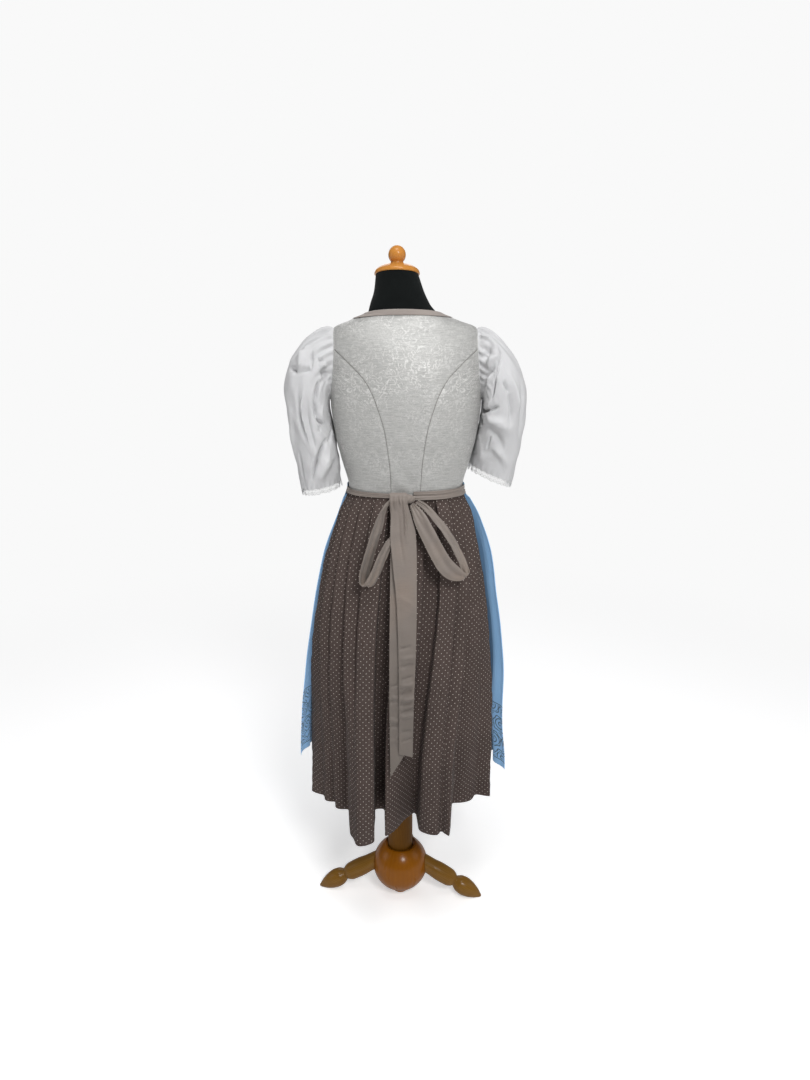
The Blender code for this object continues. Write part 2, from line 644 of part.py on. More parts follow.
def make_sleeve(name, lace_name, table, side):
    """A puff sleeve and the scalloped lace at its cuff."""
    grid = sleeve_grid(table, side)
    normal = -side * grid_normals(grid, closed=True)
    centres = grid.mean(axis=1, keepdims=True)
    outward = np.sign(np.sum(normal * (grid - centres), axis=2, keepdims=True).mean())
    sleeve = wall(name, grid, grid - outward * normal * BLOUSE_WALL, closed=True)
    finish(sleeve, WHITE, 0.8)

    cuff = grid[-1]
    fall = grid[-1] - grid[-2]
    fall /= np.linalg.norm(fall, axis=1, keepdims=True)
    scallop = np.array([LACE_SCALLOP * (c % 2) for c in range(SLEEVE_COLUMNS)])[:, None]
    inward = -outward * normal[-1]
    top = cuff + fall * GAP + inward * 0.0001
    bottom = cuff + fall * (LACE_DROP - scallop) + inward * 0.0001
    outer = np.stack([top, bottom])
    lace = wall(lace_name, outer, outer + inward * LACE_WALL, closed=True)
    finish(lace, WHITE, 0.85)


# ---------------------------------------------------------------- skirt
def ease(value):
    """Smooth rise from 0 to 1."""
    value = min(max(value, 0.0), 1.0)
    return value * value * (3.0 - 2.0 * value)


def front_pleats():
    """Knife pleats of the skirt's front: mirror-symmetric, turned away from the centre front."""
    pleats = []
    for k in range(FRONT_PLEATS):
        turn = 180.0 + 180.0 * (k + 0.5) / FRONT_PLEATS
        lead = 1 if turn < 270.0 else -1
        depth = FRONT_FOLD_IN * (0.75 + 0.35 * math.cos(2.3 * k))
        row = section_at(SKIRT, HEM_Z)
        crest = hull_point(SKIRT, turn + 2.0 * lead, HEM_Z)
        root = hull_point(SKIRT, turn, HEM_Z)
        root = root * (1.0 - depth / math.hypot(row.half, row.front))
        pleats.append(Pleat(turn, root[0], root[1], crest[0], crest[1], lead))
    return pleats


def skirt_steps():
    """Control points round the skirt: kind, turn at the waist, turn at the hem, hem offset."""
    steps = []
    for half_start, pleats in ((0.0, BACK_PLEATS), (180.0, front_pleats())):
        for k, pleat in enumerate(pleats):
            waist = half_start + 180.0 * (k + 0.5) / len(pleats)
            for kind, sign, x, y in (("root", -pleat.lead, pleat.root_x, pleat.root_y),
                                     ("crest", pleat.lead, pleat.crest_x, pleat.crest_y)):
                hem_turn = pleat.hem_turn + 0.5 * sign
                base = hull_point(SKIRT, hem_turn, HEM_Z)
                steps.append((kind, waist + sign * STEP_SKEW / 2, hem_turn,
                              np.array([x, y, HEM_Z]) - base))
            if pleat.lead < 0:
                steps[-1], steps[-2] = steps[-2], steps[-1]
    return steps


def skirt_ring(steps, z):
    """Points round the skirt at a height: each fold's two edges and two points on each face."""
    share = (WAIST_Z - z) / (WAIST_Z - HEM_Z)
    growth = max((share - FOLDS_START) / (1.0 - FOLDS_START), 0.0) ** 1.5
    drift = ease(share * 1.2)
    step = WAIST_STEP + (HIP_STEP - WAIST_STEP) * ease(share / 0.12)
    step *= 1.0 - ease((share - 0.25) / 0.5)
    edges = []
    for kind, waist_turn, hem_turn, offset in steps:
        turn = waist_turn + (hem_turn - waist_turn) * drift
        lift = step if kind == "crest" else -step
        point = hull_offset(SKIRT, turn, z, lift) + offset * growth
        edges.append((kind, turn, np.array([point[0], point[1], z])))
    points = []
    count = len(edges)
    for i in range(0, count, 2):
        points.append(edges[i][2])
        points.append(edges[i + 1][2])
        start, end = edges[i + 1], edges[(i + 2) % count]
        bulge = min(0.0015 + 0.0050 * growth, 0.12 * np.linalg.norm(end[2] - start[2]))
        if start[0] == end[0]:
            bulge *= 1.0 if start[0] == "crest" else -1.0
        middle_turn = start[1] + ((end[1] - start[1]) % 360.0) / 2.0
        outward = hull_normal(SKIRT, middle_turn, z)
        for part in (1 / 3, 2 / 3):
            points.append(start[2] + (end[2] - start[2]) * part + outward * bulge * (1, 1, 0))
    return np.array(points)


def skirt_grid():
    """The whole skirt, rows from the hem to the waist."""
    steps = skirt_steps()
    shares = np.linspace(0.0, 1.0, SKIRT_ROWS) ** 1.25
    heights = HEM_Z + (WAIST_Z - GAP - HEM_Z) * (1.0 - shares[::-1])
    return np.array([skirt_ring(steps, z) for z in heights])


def make_skirt():
    """Back and front of the skirt, sewn at the sides."""
    grid = skirt_grid()
    inner = grid - grid_normals(grid, closed=True) * SKIRT_WALL
    inner[:, :, 2] = grid[:, :, 2]
    half = 4 * len(BACK_PLEATS)
    total = grid.shape[1]
    seam = 3
    back = np.arange(total - seam + 2, total + half - seam + 3) % total
    front = np.arange(half - seam + 2, total - seam + 3) % total
    for name, columns in (("skirt_back", back), ("skirt_front", front)):
        sides = [pulled(surface[:, columns], left=True, right=True) for surface in (grid, inner)]
        finish(wall(name, *sides), BROWN, 0.85)


# ---------------------------------------------------------------- apron and ties
def apron_point(across, z, lift=0.0):
    """Point of the apron, gathered at the top and falling in wide folds."""
    share = (APRON_TOP_Z - z) / (APRON_TOP_Z - APRON_HEM_Z)
    start = APRON_START - APRON_FLARE * ease(share * 1.5)
    end = APRON_END + APRON_FLARE * ease(share * 1.5)
    turn = start + (end - start) * across
    gather = 0.0020 * (1.0 - ease(share / 0.5)) + 0.0003
    fold = 0.0095 * ease((share - 0.05) / 0.9)
    wave = (0.5 + 0.5 * math.cos(2.0 * math.pi * APRON_GATHERS * across)) * gather
    phase = APRON_FOLDS * across + 0.16 * math.sin(7.0 * across)
    wave += (0.5 + 0.5 * math.cos(2.0 * math.pi * phase)) * fold
    return hull_offset(APRON, turn, z, wave + lift)


def make_apron():
    """The apron's gathered panel."""
    shares = np.linspace(0.0, 1.0, APRON_ROWS) ** 1.2
    heights = APRON_HEM_Z + (APRON_TOP_Z - APRON_HEM_Z) * (1.0 - shares[::-1])
    across = np.linspace(0.0, 1.0, APRON_COLUMNS + 1)
    rise = [APRON_EDGE_RISE[0] * (1.0 - ease(u / 0.3)) + APRON_EDGE_RISE[1] * ease((u - 0.7) / 0.3)
            for u in across]
    drop = (APRON_TOP_Z - heights) / (APRON_TOP_Z - APRON_HEM_Z)
    grid = np.array([[apron_point(u, z + up * part) for u, up in zip(across, rise)]
                     for z, part in zip(heights, drop)])
    grid[-1, :, 2] = APRON_TOP_Z
    outer = grid + grid_normals(grid) * APRON_WALL
    outer[:, :, 2] = grid[:, :, 2]
    finish(wall("apron_panel", outer, grid), BLUE, 0.75)


def waist_point(turn, z, lift):
    """Point over the waist seam: on the bodice above it and on the skirt below."""
    point = hull_offset(BODY if z >= WAIST_Z else SKIRT, turn, z, lift)
    point[2] = z
    return point


def make_band(name, start, end, levels, columns, colour):
    """Flat band round the waist, between two turns, through (height, lift) levels."""
    def place(extra):
        return np.array([[waist_point(start + (end - start) * c / columns, z, lift + extra)
                          for c in range(columns + 1)] for z, lift in levels])

    return finish(wall(name, place(BAND_WALL), place(0.0)), colour, 0.6)


def make_waistband_and_ties():
    """The apron's waistband in front and its ties round to the knot at the back."""
    front = [(BAND_LOW_Z, BAND_LIFT + 0.0016), (WAIST_Z, BAND_LIFT + 0.0002), (BAND_HIGH_Z, BAND_LIFT)]
    make_band("apron_waistband", 177.5, 362.5, front, 24, BLUE)
    left = [(1.0500, BAND_LIFT + 0.0012), (1.0560, BAND_LIFT + 0.0004), (1.0600, BAND_LIFT)]
    make_band("tie_left", 2.7, 84.0, left, 10, TAUPE)
    right = [(1.0465, BAND_LIFT + 0.0014), (1.0515, BAND_LIFT + 0.0018), (1.0555, BAND_LIFT + 0.0004),
             (1.0610, BAND_LIFT + 0.0009), (1.0645, BAND_LIFT)]
    make_band("tie_right", 96.0, 177.3, right, 10, TAUPE)


def ribbon(name, stations, columns=3):
    """Flat ribbon through stations, each with a centre and a half-width vector."""
    rows = []
    for s in stations:
        centre, wide = np.array([s.x, s.y, s.z]), np.array([s.wide_x, s.wide_y, s.wide_z])
        rows.append([centre + wide * (2.0 * c / columns - 1.0) for c in range(columns + 1)])
    grid = np.array(rows)
    half = grid_normals(grid) * RIBBON_WALL / 2
    return finish(wall(name, grid + half, grid - half), TAUPE, 0.5)


def make_tail(name, table):
    """One hanging end of the tie, lying just clear of the skirt."""
    columns = 4
    rows = []
    for row in table:
        points = []
        for c in range(columns + 1):
            part = c / columns
            x = row.left_x + (row.right_x - row.left_x) * part
            z = row.left_z + (row.right_z - row.left_z) * part
            points.append((x, section_at(SKIRT, z).back + row.clear, z))
        rows.append(points)
    grid = np.array(rows)
    outer = grid + np.array([0.0, RIBBON_WALL, 0.0])
    return finish(wall(name, outer, grid), TAUPE, 0.5)


def make_knot():
    """The knot between the loops."""
    bm = bmesh.new()
    bmesh.ops.create_uvsphere(bm, u_segments=14, v_segments=8, radius=1.0)
    for vert in bm.verts:
        vert.co = [centre + half * signed_power(value, 0.85)
                   for centre, half, value in zip(KNOT_CENTRE, KNOT_HALF, vert.co)]
    return finish(object_from_bmesh("bow_knot", bm), TAUPE, 0.5)


# ---------------------------------------------------------------- dress form and stand
def make_form():
    """Cloth-covered torso and neck, one smooth closed body."""
    columns = 24
    heights = [FORM_FOOT_Z, 0.785, 0.83, 0.90, 0.98, 1.04, 1.07, 1.12, 1.18, 1.24, 1.30, 1.345, 1.375,
               1.395, 1.407, 1.418, 1.429, 1.440, 1.456, 1.480, NECK_TOP_Z]
    bm = bmesh.new()
    rings = []
    for z in heights:
        depth = FORM_DEPTH * min(1.0, (NECK_TOP_Z - z) / (NECK_TOP_Z - 1.45))
        points = [hull_offset(BODY, 360.0 * c / columns, z, -depth) for c in range(columns)]
        if z in (FORM_FOOT_Z, NECK_TOP_Z):
            points = [(p[0], p[1], z) for p in points]
        rings.append([bm.verts.new(p) for p in points])
    for low, high in zip(rings, rings[1:]):
        for c in range(columns):
            n = (c + 1) % columns
            bm.faces.new((low[c], low[n], high[n], high[c]))
    bm.faces.new(rings[0])
    bm.faces.new(rings[-1])
    return finish(object_from_bmesh("form_torso", bm), BLACK, 0.9)


def turned(name, profile, colour, roughness, centre=(0.0, 0.0), steps=18):
    """Turned piece: (radius, height) points from the top down, swept by a Screw modifier."""
    bm = bmesh.new()
    verts = [bm.verts.new((radius, 0.0, z)) for radius, z in profile]
    for first, second in zip(verts, verts[1:]):
        bm.edges.new((first, second))
    mesh = bpy.data.meshes.new(name)
    bm.to_mesh(mesh)
    bm.free()
    item = bpy.data.objects.new(name, mesh)
    item.location = (*centre, 0.0)
    bpy.context.scene.collection.objects.link(item)
    screw = item.modifiers.new("turning", "SCREW")
    screw.axis = "Z"
    screw.angle = 2.0 * math.pi
    screw.steps = steps
    screw.render_steps = steps
    screw.use_merge_vertices = True
    screw.merge_threshold = 0.00005
    screw.use_smooth_shade = True
    return finish(item, colour, roughness, smooth=False)


def make_stand():
    """Neck cap, pole, ball, peg and the three turned legs."""
    cap_x = section_at(BODY, NECK_TOP_Z).shift
    cap_z = NECK_TOP_Z + GAP
    knob_foot = KNOB_Z - KNOB_RADIUS * 0.80
    cap = [(0.0, KNOB_Z + KNOB_RADIUS * 1.04)]
    for angle in (72.0, 54.0, 36.0, 18.0, 0.0, -18.0, -34.0):
        radius = KNOB_RADIUS * math.cos(math.radians(angle))
        cap.append((radius, KNOB_Z + KNOB_RADIUS * 1.04 * math.sin(math.radians(angle))))
    cap += [(0.0130, knob_foot - 0.003), (0.0170, knob_foot - 0.0055), (0.0260, knob_foot - 0.0085),
            (0.0380, knob_foot - 0.0145), (CAP_RADIUS - 0.002, cap_z + 0.0075),
            (CAP_RADIUS, cap_z + 0.0035), (CAP_RADIUS - 0.0015, cap_z), (0.0, cap_z)]
    turned("neck_cap", cap, HONEY, 0.3, centre=(cap_x, 0.0))

    turned("pole", [(0.0, FORM_FOOT_Z - GAP), (POLE_RADIUS, FORM_FOOT_Z - GAP),
                    (POLE_RADIUS, SOCKET_FLOOR_Z + 0.012 + GAP),
                    (POLE_RADIUS - 0.001, SOCKET_FLOOR_Z + GAP), (0.0, SOCKET_FLOOR_Z + GAP)],
           HONEY, 0.35)

    rim_angle = math.acos(GROOVE_RADIUS / BALL_RADIUS)
    foot_angle = -math.acos(PEG_RADIUS * 0.9 / BALL_RADIUS)
    ball = [(0.0, SOCKET_FLOOR_Z), (SOCKET_RADIUS, SOCKET_FLOOR_Z), (SOCKET_RADIUS, 0.1300),
            (SOCKET_RADIUS + 0.0025, 0.1325)]
    for angle in np.linspace(rim_angle, foot_angle, 13):
        ball.append((BALL_RADIUS * math.cos(angle), BALL_Z + BALL_RADIUS * math.sin(angle)))
    ball.append((0.0, ball[-1][1]))
    turned("base_ball", ball, AMBER, 0.3)

    peg_top = ball[-1][1] - GAP
    turned("centre_peg", [(0.0, peg_top), (PEG_RADIUS * 0.9, peg_top), (PEG_RADIUS, 0.0),
                          (0.0, 0.0)], HONEY, 0.4, steps=24)

    for name, turn in LEG_TURNS.items():
        make_leg(name, math.radians(turn))


def make_leg(name, turn):
    """A turned leg, from its hollow seat on the ball to a foot that is flat where it stands."""
    sides = 14
    out = np.array([math.cos(turn), math.sin(turn), 0.0])
    across = np.array([-math.sin(turn), math.cos(turn), 0.0])
    axis = out * math.cos(LEG_SLOPE) - np.array([0.0, 0.0, math.sin(LEG_SLOPE)])
    up = np.cross(axis, across)
    up *= math.copysign(1.0, up[2])
    ball_centre = np.array([0.0, 0.0, BALL_Z])
    through = out * LEG_AXIS_OUT + np.array([0.0, 0.0, LEG_AXIS_Z])
    start = through + axis * (BALL_RADIUS - np.dot(through - ball_centre, axis))

    def around(radius, angle):
        return radius * (math.cos(angle) * across + math.sin(angle) * up)

    def seat_point(offset, clearance):
        aside = start + offset - ball_centre
        depth = np.dot(aside, axis)
        side = np.linalg.norm(aside - depth * axis)
        reach = math.sqrt((BALL_RADIUS + clearance) ** 2 - side**2)
        return start + offset + axis * (reach - depth)

    angles = [2.0 * math.pi * c / sides for c in range(sides)]
    bm = bmesh.new()
    centre = bm.verts.new(seat_point(np.zeros(3), 2.5 * GAP))
    seat_radius = LEG_PROFILE[0].radius
    rings = [[bm.verts.new(seat_point(around(seat_radius * part, a), clearance)) for a in angles]
             for part, clearance in ((0.5, 2.5 * GAP), (1.0, 1.6 * GAP))]
    for ring in LEG_PROFILE:
        points = []
        for angle in angles:
            point = start + axis * ring.along + around(ring.radius, angle)
            point[2] = max(point[2], 0.0)
            points.append(bm.verts.new(point))
        rings.append(points)
    for low, high in zip(rings, rings[1:]):
        for c in range(sides):
            n = (c + 1) % sides
            bm.faces.new((low[c], low[n], high[n], high[c]))
    for c in range(sides):
        bm.faces.new((centre, rings[0][c], rings[0][(c + 1) % sides]))
    bm.faces.new(rings[-1])
    return finish(object_from_bmesh(name, bm), OLIVE, 0.35)


def main():
    """Build the whole model."""
    clear_scene()
    collection = bpy.data.collections.new("dirndl_on_form")
    bpy.context.scene.collection.children.link(collection)
    make_form()
    make_stand()
    make_bodice_back()
    make_side_back("side_back_left", flip=False)
    make_side_back("side_back_right", flip=True)
    make_front("front_left", flip=False)
    make_front("front_right", flip=True)
    make_neck_binding()
    make_blouse_front()
    make_sleeve("sleeve_left", "cuff_lace_left", LEFT_SLEEVE, 1)
    make_sleeve("sleeve_right", "cuff_lace_right", RIGHT_SLEEVE, -1)
    make_skirt()
    make_apron()
    make_waistband_and_ties()
    make_knot()
    ribbon("bow_loop_left", BOW_LEFT)
    ribbon("bow_loop_right", BOW_RIGHT)
    make_tail("bow_tail_front", FRONT_TAIL)
    make_tail("bow_tail_back", BACK_TAIL)


main()
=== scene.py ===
"""Looks of a dirndl dress with its blouse and apron, on a dress form with a turned stand.

Metres, +Z up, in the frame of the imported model. The garment's front faces -Y and the wearer's
left side is +X. Turns are in degrees round +Z: 0 is the left side, 90 the centre back, 180 the
right side and 270 the centre front.
"""
import logging
import math
from dataclasses import dataclass, field
from enum import Enum
from functools import partial
from typing import Any, Callable, Sequence

import bpy
import numpy as np
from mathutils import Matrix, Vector


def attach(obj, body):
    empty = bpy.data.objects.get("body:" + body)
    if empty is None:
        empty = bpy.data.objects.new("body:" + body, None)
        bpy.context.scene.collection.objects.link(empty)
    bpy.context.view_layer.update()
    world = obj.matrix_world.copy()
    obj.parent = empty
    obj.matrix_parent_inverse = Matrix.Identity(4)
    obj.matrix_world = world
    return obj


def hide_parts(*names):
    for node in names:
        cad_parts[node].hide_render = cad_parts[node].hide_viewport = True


Grid = np.ndarray  # points or numbers, rows by columns
Piece = bpy.types.Object
Socket = bpy.types.NodeSocket
Pair = tuple[float, float]
Place = tuple[float, float, float]
Add = Callable[..., Any]  # adds a node to one tree, as add_node does
LOG = logging.getLogger("dirndl")
ROOT = "root"
GAP = 0.0003  # between pieces that touch or are sewn together
ROUND_POWER = 2.2  # 2 is an ellipse, larger is squarer
SHARP = math.radians(50.0)  # past this angle an edge is sharp
CORD_SIDES = 8

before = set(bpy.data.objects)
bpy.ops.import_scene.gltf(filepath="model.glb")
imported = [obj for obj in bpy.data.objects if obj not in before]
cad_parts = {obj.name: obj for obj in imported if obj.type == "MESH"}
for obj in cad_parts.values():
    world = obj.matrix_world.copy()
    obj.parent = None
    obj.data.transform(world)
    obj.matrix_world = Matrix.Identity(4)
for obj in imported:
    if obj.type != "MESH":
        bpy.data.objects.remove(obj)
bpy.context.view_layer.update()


def table(*rows: tuple[float, ...]) -> Any:
    """Return a field that holds these rows, written in millimetres, as an array in metres."""
    return field(default_factory=lambda: np.array(rows, float) / 1000.0)


# ---- curves and grids
def ease(value: Grid | float) -> Grid:
    """Return a smooth rise from 0 to 1 of the value, held to that range."""
    value = np.clip(value, 0.0, 1.0)
    return value * value * (3 - 2 * value)


def signed_power(value: Grid, power: float) -> Grid:
    """Return the power of the value, with its sign kept."""
    return np.sign(value) * np.abs(value) ** power


def smooth_curve(xs: Sequence[float], ys: Any, x: Any) -> Grid:
    """Read a smooth curve through table values, without overshoot.

    Args:
        xs: rising places of the table's rows.
        ys: one value, or one row of values, for each place.
        x: the places to read.

    Returns:
        The values at x, with a last axis for the columns where ys has them.
    """
    xs, ys, x = np.asarray(xs, float), np.asarray(ys, float), np.asarray(x, float)
    if ys.ndim == 1:
        return smooth_curve(xs, ys[:, None], x)[..., 0]
    slope = np.diff(ys, axis=0) / np.diff(xs)[:, None]
    tangent = np.zeros_like(ys)
    tangent[0], tangent[-1] = slope[0], slope[-1]
    same = slope[:-1] * slope[1:]
    total = np.where(same > 0.0, slope[:-1] + slope[1:], 1.0)
    tangent[1:-1] = np.where(same > 0.0, 2 * same / total, 0.0)
    i = np.clip(np.searchsorted(xs, x) - 1, 0, len(xs) - 2)
    span = (xs[i + 1] - xs[i])[..., None]
    t = np.clip((x - xs[i])[..., None] / span, 0.0, 1.0)
    return ((2 * t**3 - 3 * t**2 + 1) * ys[i] + (t**3 - 2 * t**2 + t) * span * tangent[i]
            + (3 * t**2 - 2 * t**3) * ys[i + 1] + (t**3 - t**2) * span * tangent[i + 1])


def spline(points: Any, count: int) -> Grid:
    """Read a Catmull-Rom curve through rows of numbers at evenly spaced places.

    Args:
        points: the rows that the curve goes through.
        count: how many places are read, ends included.

    Returns:
        One row for each place.
    """
    points = np.asarray(points, float)
    padded = np.concatenate([[2 * points[0] - points[1]], points, [2 * points[-1] - points[-2]]])
    place = np.linspace(0.0, len(points) - 1, count)
    i = np.minimum(place.astype(int), len(points) - 2)
    t = (place - i).reshape((-1,) + (1,) * (points.ndim - 1))
    a, b, c, d = (padded[i + k] for k in range(4))
    return 0.5 * (2 * b + (c - a) * t + (2 * a - 5 * b + 4 * c - d) * t**2
                  + (3 * b - a - 3 * c + d) * t**3)


def unit(vectors: Grid) -> Grid:
    """Return vectors, one along the last axis, at a length of 1."""
    return vectors / np.maximum(np.linalg.norm(vectors, axis=-1, keepdims=True), 1e-12)


def direction(line: Grid, closed: bool = False, axis: int = 0) -> Grid:
    """Return the way that points run along an axis, to no scale; closed says it is a ring."""
    if closed:
        return np.roll(line, -1, axis) - np.roll(line, 1, axis)
    return np.gradient(line, axis=axis)


def grid_normals(grid: Grid, closed: bool = False) -> Grid:
    """Return unit normals of a grid of points; closed says that its columns run in a ring."""
    return unit(np.cross(direction(grid, closed, 1), direction(grid)))


def run_lengths(points: Grid, axis: int = 0) -> Grid:
    """Return the running length along one axis of a grid or line of points, starting at 0."""
    steps = np.linalg.norm(np.diff(points, axis=axis), axis=-1)
    start = np.zeros_like(np.take(steps, [0], axis=axis))
    return np.concatenate([start, np.cumsum(steps, axis=axis)], axis=axis)


def read_line(marks: Grid, length: Grid, values: Grid) -> Grid:
    """Return rows of three values, given at running lengths, read at marks between them."""
    return np.stack([np.interp(marks, length, values[:, k]) for k in range(3)], axis=-1)


def draw_back(grid: Grid) -> Grid:
    """Draw a cloth's first and last columns back from their seams by half a gap; return it."""
    for edge, inward in ((0, 1), (-1, -2)):
        grid[:, edge] += GAP / 2 * unit(grid[:, inward] - grid[:, edge])
    return grid


def wander(across: Grid, down: Grid, size: float, seed: int) -> Grid:
    """Return a slow, uneven wave between about -1 and 1 over a cloth.

    Args:
        across: places across the cloth, in metres.
        down: places down it, in metres.
        size: length of its usual wave, in metres.
        seed: which wave it is.

    Returns:
        The wave at each place.
    """
    rng = np.random.default_rng(seed)
    total = np.zeros(np.broadcast(across, down).shape)
    for _ in range(7):
        angle, phase = rng.uniform(0.0, math.tau, 2)
        pitch = math.tau / (size * rng.uniform(0.6, 1.7))
        total += np.sin(pitch * (across * math.cos(angle) + down * math.sin(angle)) + phase)
    return total / 4


def crease_relief(across: Grid, down: Grid, creases: Any, around: float = 0.0) -> Grid:
    """Work out how far a cloth's creases lift it.

    Args:
        across: places across the cloth, in metres.
        down: places down it, in metres.
        creases: a row for each: across and down at its start and at its end, half width, and
            height, which is negative for a trough.
        around: the cloth's width where it is sewn into a tube, and 0 where it isn't.

    Returns:
        The lift at each place, in metres.
    """
    total = np.zeros(np.broadcast(across, down).shape)
    for left, top, right, foot, width, depth in creases:
        run = np.array([right - left, foot - top])
        length = np.linalg.norm(run)
        from_left, from_top = across - left, down - top
        if around:
            from_left = (from_left - run[0] / 2 + around / 2) % around - around / 2 + run[0] / 2
        place = (from_left * run[0] + from_top * run[1]) / length**2
        aside = (from_left * run[1] - from_top * run[0]) / length
        taper = ease(np.minimum(place + 0.1, 1.1 - place) / 0.45)
        total += depth * taper * np.exp(-(aside / width) ** 2)
    return total


# ---- meshes
def in_scene(name: str, data: Any) -> Piece:
    """Return a new object of these data, in the scene."""
    item = bpy.data.objects.new(name, data)
    bpy.context.scene.collection.objects.link(item)
    return item


@dataclass
class Weave:
    """Where a cloth's own width and length run over its mesh, for each strip between columns."""

    left: Grid  # rows x strips x 2: metres across and down, at the strip's left column
    right: Grid

    @staticmethod
    def even(across: Grid, down: Grid) -> "Weave":
        """Return the weave of a cloth whose places are given at each column."""
        both = np.stack(np.broadcast_arrays(across, down), axis=-1)
        return Weave(both[:, :-1], both[:, 1:])


def mesh_object(name: str, points: Grid, faces: Grid, places: Grid) -> Piece:
    """Make a mesh of four-sided faces that look outward, with its own UV map in metres.

    Args:
        name: the object's name.
        points: corner points.
        faces: four point numbers for each face.
        places: two UV numbers for each corner of each face.

    Returns:
        The object, in the scene.
    """
    a, b, c, d = (points[faces[:, k]] for k in range(4))
    if (np.cross(a, b) * c).sum() + (np.cross(a, c) * d).sum() < 0.0:  # it is inside out
        faces, places = faces[:, ::-1], places[:, ::-1]
    mesh = bpy.data.meshes.new(name)
    mesh.vertices.add(len(points))
    mesh.vertices.foreach_set("co", points.astype(np.float32).ravel())
    mesh.loops.add(faces.size)
    mesh.loops.foreach_set("vertex_index", faces.astype(np.int32).ravel())
    mesh.polygons.add(len(faces))
    mesh.polygons.foreach_set("loop_start", np.arange(0, faces.size, 4, dtype=np.int32))
    mesh.uv_layers.new(name="weave").data.foreach_set("uv", places.astype(np.float32).ravel())
    mesh.update(calc_edges=True)
    mesh.validate()
    mesh.shade_smooth()
    mesh.set_sharp_from_angle(angle=SHARP)
    return in_scene(name, mesh)


def cloth_wall(name: str, outer: Grid, inner: Grid, weave: Weave | None = None,
               closed: bool = False, ends: bool = False) -> Piece:
    """Make a closed wall of cloth between two grids of points.

    Args:
        name: the object's name.
        outer: points of the outer face, rows by columns.
        inner: points of the inner face.
        weave: where the cloth's width and length run; worked out from the points if left out.
        closed: whether the columns run in a ring.
        ends: whether a ring's first and last rows are closed by joining them to their middle,
            which makes a solid piece with no inner face.

    Returns:
        The object, in the scene.
    """
    rows, columns = outer.shape[:2]
    strips = columns if closed else columns - 1
    if weave is None:
        ring = np.concatenate([outer, outer[:, :1]], axis=1) if closed else outer
        weave = Weave.even(run_lengths(ring, 1), run_lengths(ring))
    left, right = weave.left, weave.right
    number = np.arange(rows * columns).reshape(rows, columns)
    a, b = number[:, :strips], np.roll(number, -1, axis=1)[:, :strips]
    faces = [np.stack([a[:-1], b[:-1], b[1:], a[1:]], axis=-1)]
    places = [np.stack([left[:-1], right[:-1], right[1:], left[1:]], axis=2)]
    points = outer.reshape(-1, 3)
    if ends:
        for row in (0, -1):
            cap = np.stack([a[row, ::2], b[row, ::2], b[row, 1::2],
                            np.full(strips // 2, len(points))], axis=-1)
            points = np.concatenate([points, outer[row].mean(axis=0)[None]])
            faces.append(cap if row else cap[:, ::-1])
            places.append(points[faces[-1]][..., :2])
    else:
        points = np.concatenate([points, inner.reshape(-1, 3)])
        shift = rows * columns
        faces.append(faces[0][..., ::-1] + shift)
        places.append(places[0][:, :, ::-1])
        rims = [(a[0], b[0], left[0], right[0]), (b[-1], a[-1], right[-1], left[-1])]
        if not closed:
            rims += [(a[1:, 0], a[:-1, 0], left[1:, 0], left[:-1, 0]),
                     (b[:-1, -1], b[1:, -1], right[:-1, -1], right[1:, -1])]
        for start, end, start_place, end_place in rims:
            faces.append(np.stack([start, start + shift, end + shift, end], axis=-1))
            places.append(np.stack([start_place, start_place, end_place, end_place], axis=1))
    return mesh_object(name, points, np.concatenate([face.reshape(-1, 4) for face in faces]),
                       np.concatenate([place.reshape(-1, 4, 2) for place in places]))


def cord_tube(name: str, line: Grid, radius: float, closed: bool = False) -> Piece:
    """Make a round tube along a line of points, for a piped or rolled edge.

    Args:
        name: the object's name.
        line: the points of its middle.
        radius: its radius, metres.
        closed: whether it runs in a ring; otherwise its ends are closed.

    Returns:
        The object, in the scene.
    """
    run = unit(direction(line, closed))
    side = unit(np.cross(run, (0.13, 0.21, 0.97)))
    up = np.cross(side, run)
    turn = np.linspace(0.0, math.tau, CORD_SIDES, endpoint=False)[None, :, None]
    ring = line[:, None] + radius * (side[:, None] * np.cos(turn) + up[:, None] * np.sin(turn))
    if not closed:
        return cloth_wall(name, ring, ring, closed=True, ends=True)
    number = np.arange(CORD_SIDES * len(line)).reshape(CORD_SIDES, len(line))
    faces = np.stack([np.roll(number, shift, (0, 1)) for shift in (
        (0, 0), (0, -1), (-1, -1), (-1, 0))], axis=-1).reshape(-1, 4)
    points = ring.transpose(1, 0, 2).reshape(-1, 3)
    return mesh_object(name, points, faces, points[faces][..., :2])


# ---- materials
def linear(hex_code: str) -> tuple[float, float, float, float]:
    """Turn an sRGB hex value into a linear colour.

    Args:
        hex_code: the value, as #RRGGBB.

    Returns:
        Red, green, blue and alpha.
    """
    channels = [int(hex_code[i:i + 2], 16) / 255 for i in (1, 3, 5)]
    red, green, blue = (c / 12.92 if c <= 0.04045 else ((c + 0.055) / 1.055) ** 2.4
                        for c in channels)
    return red, green, blue, 1.0


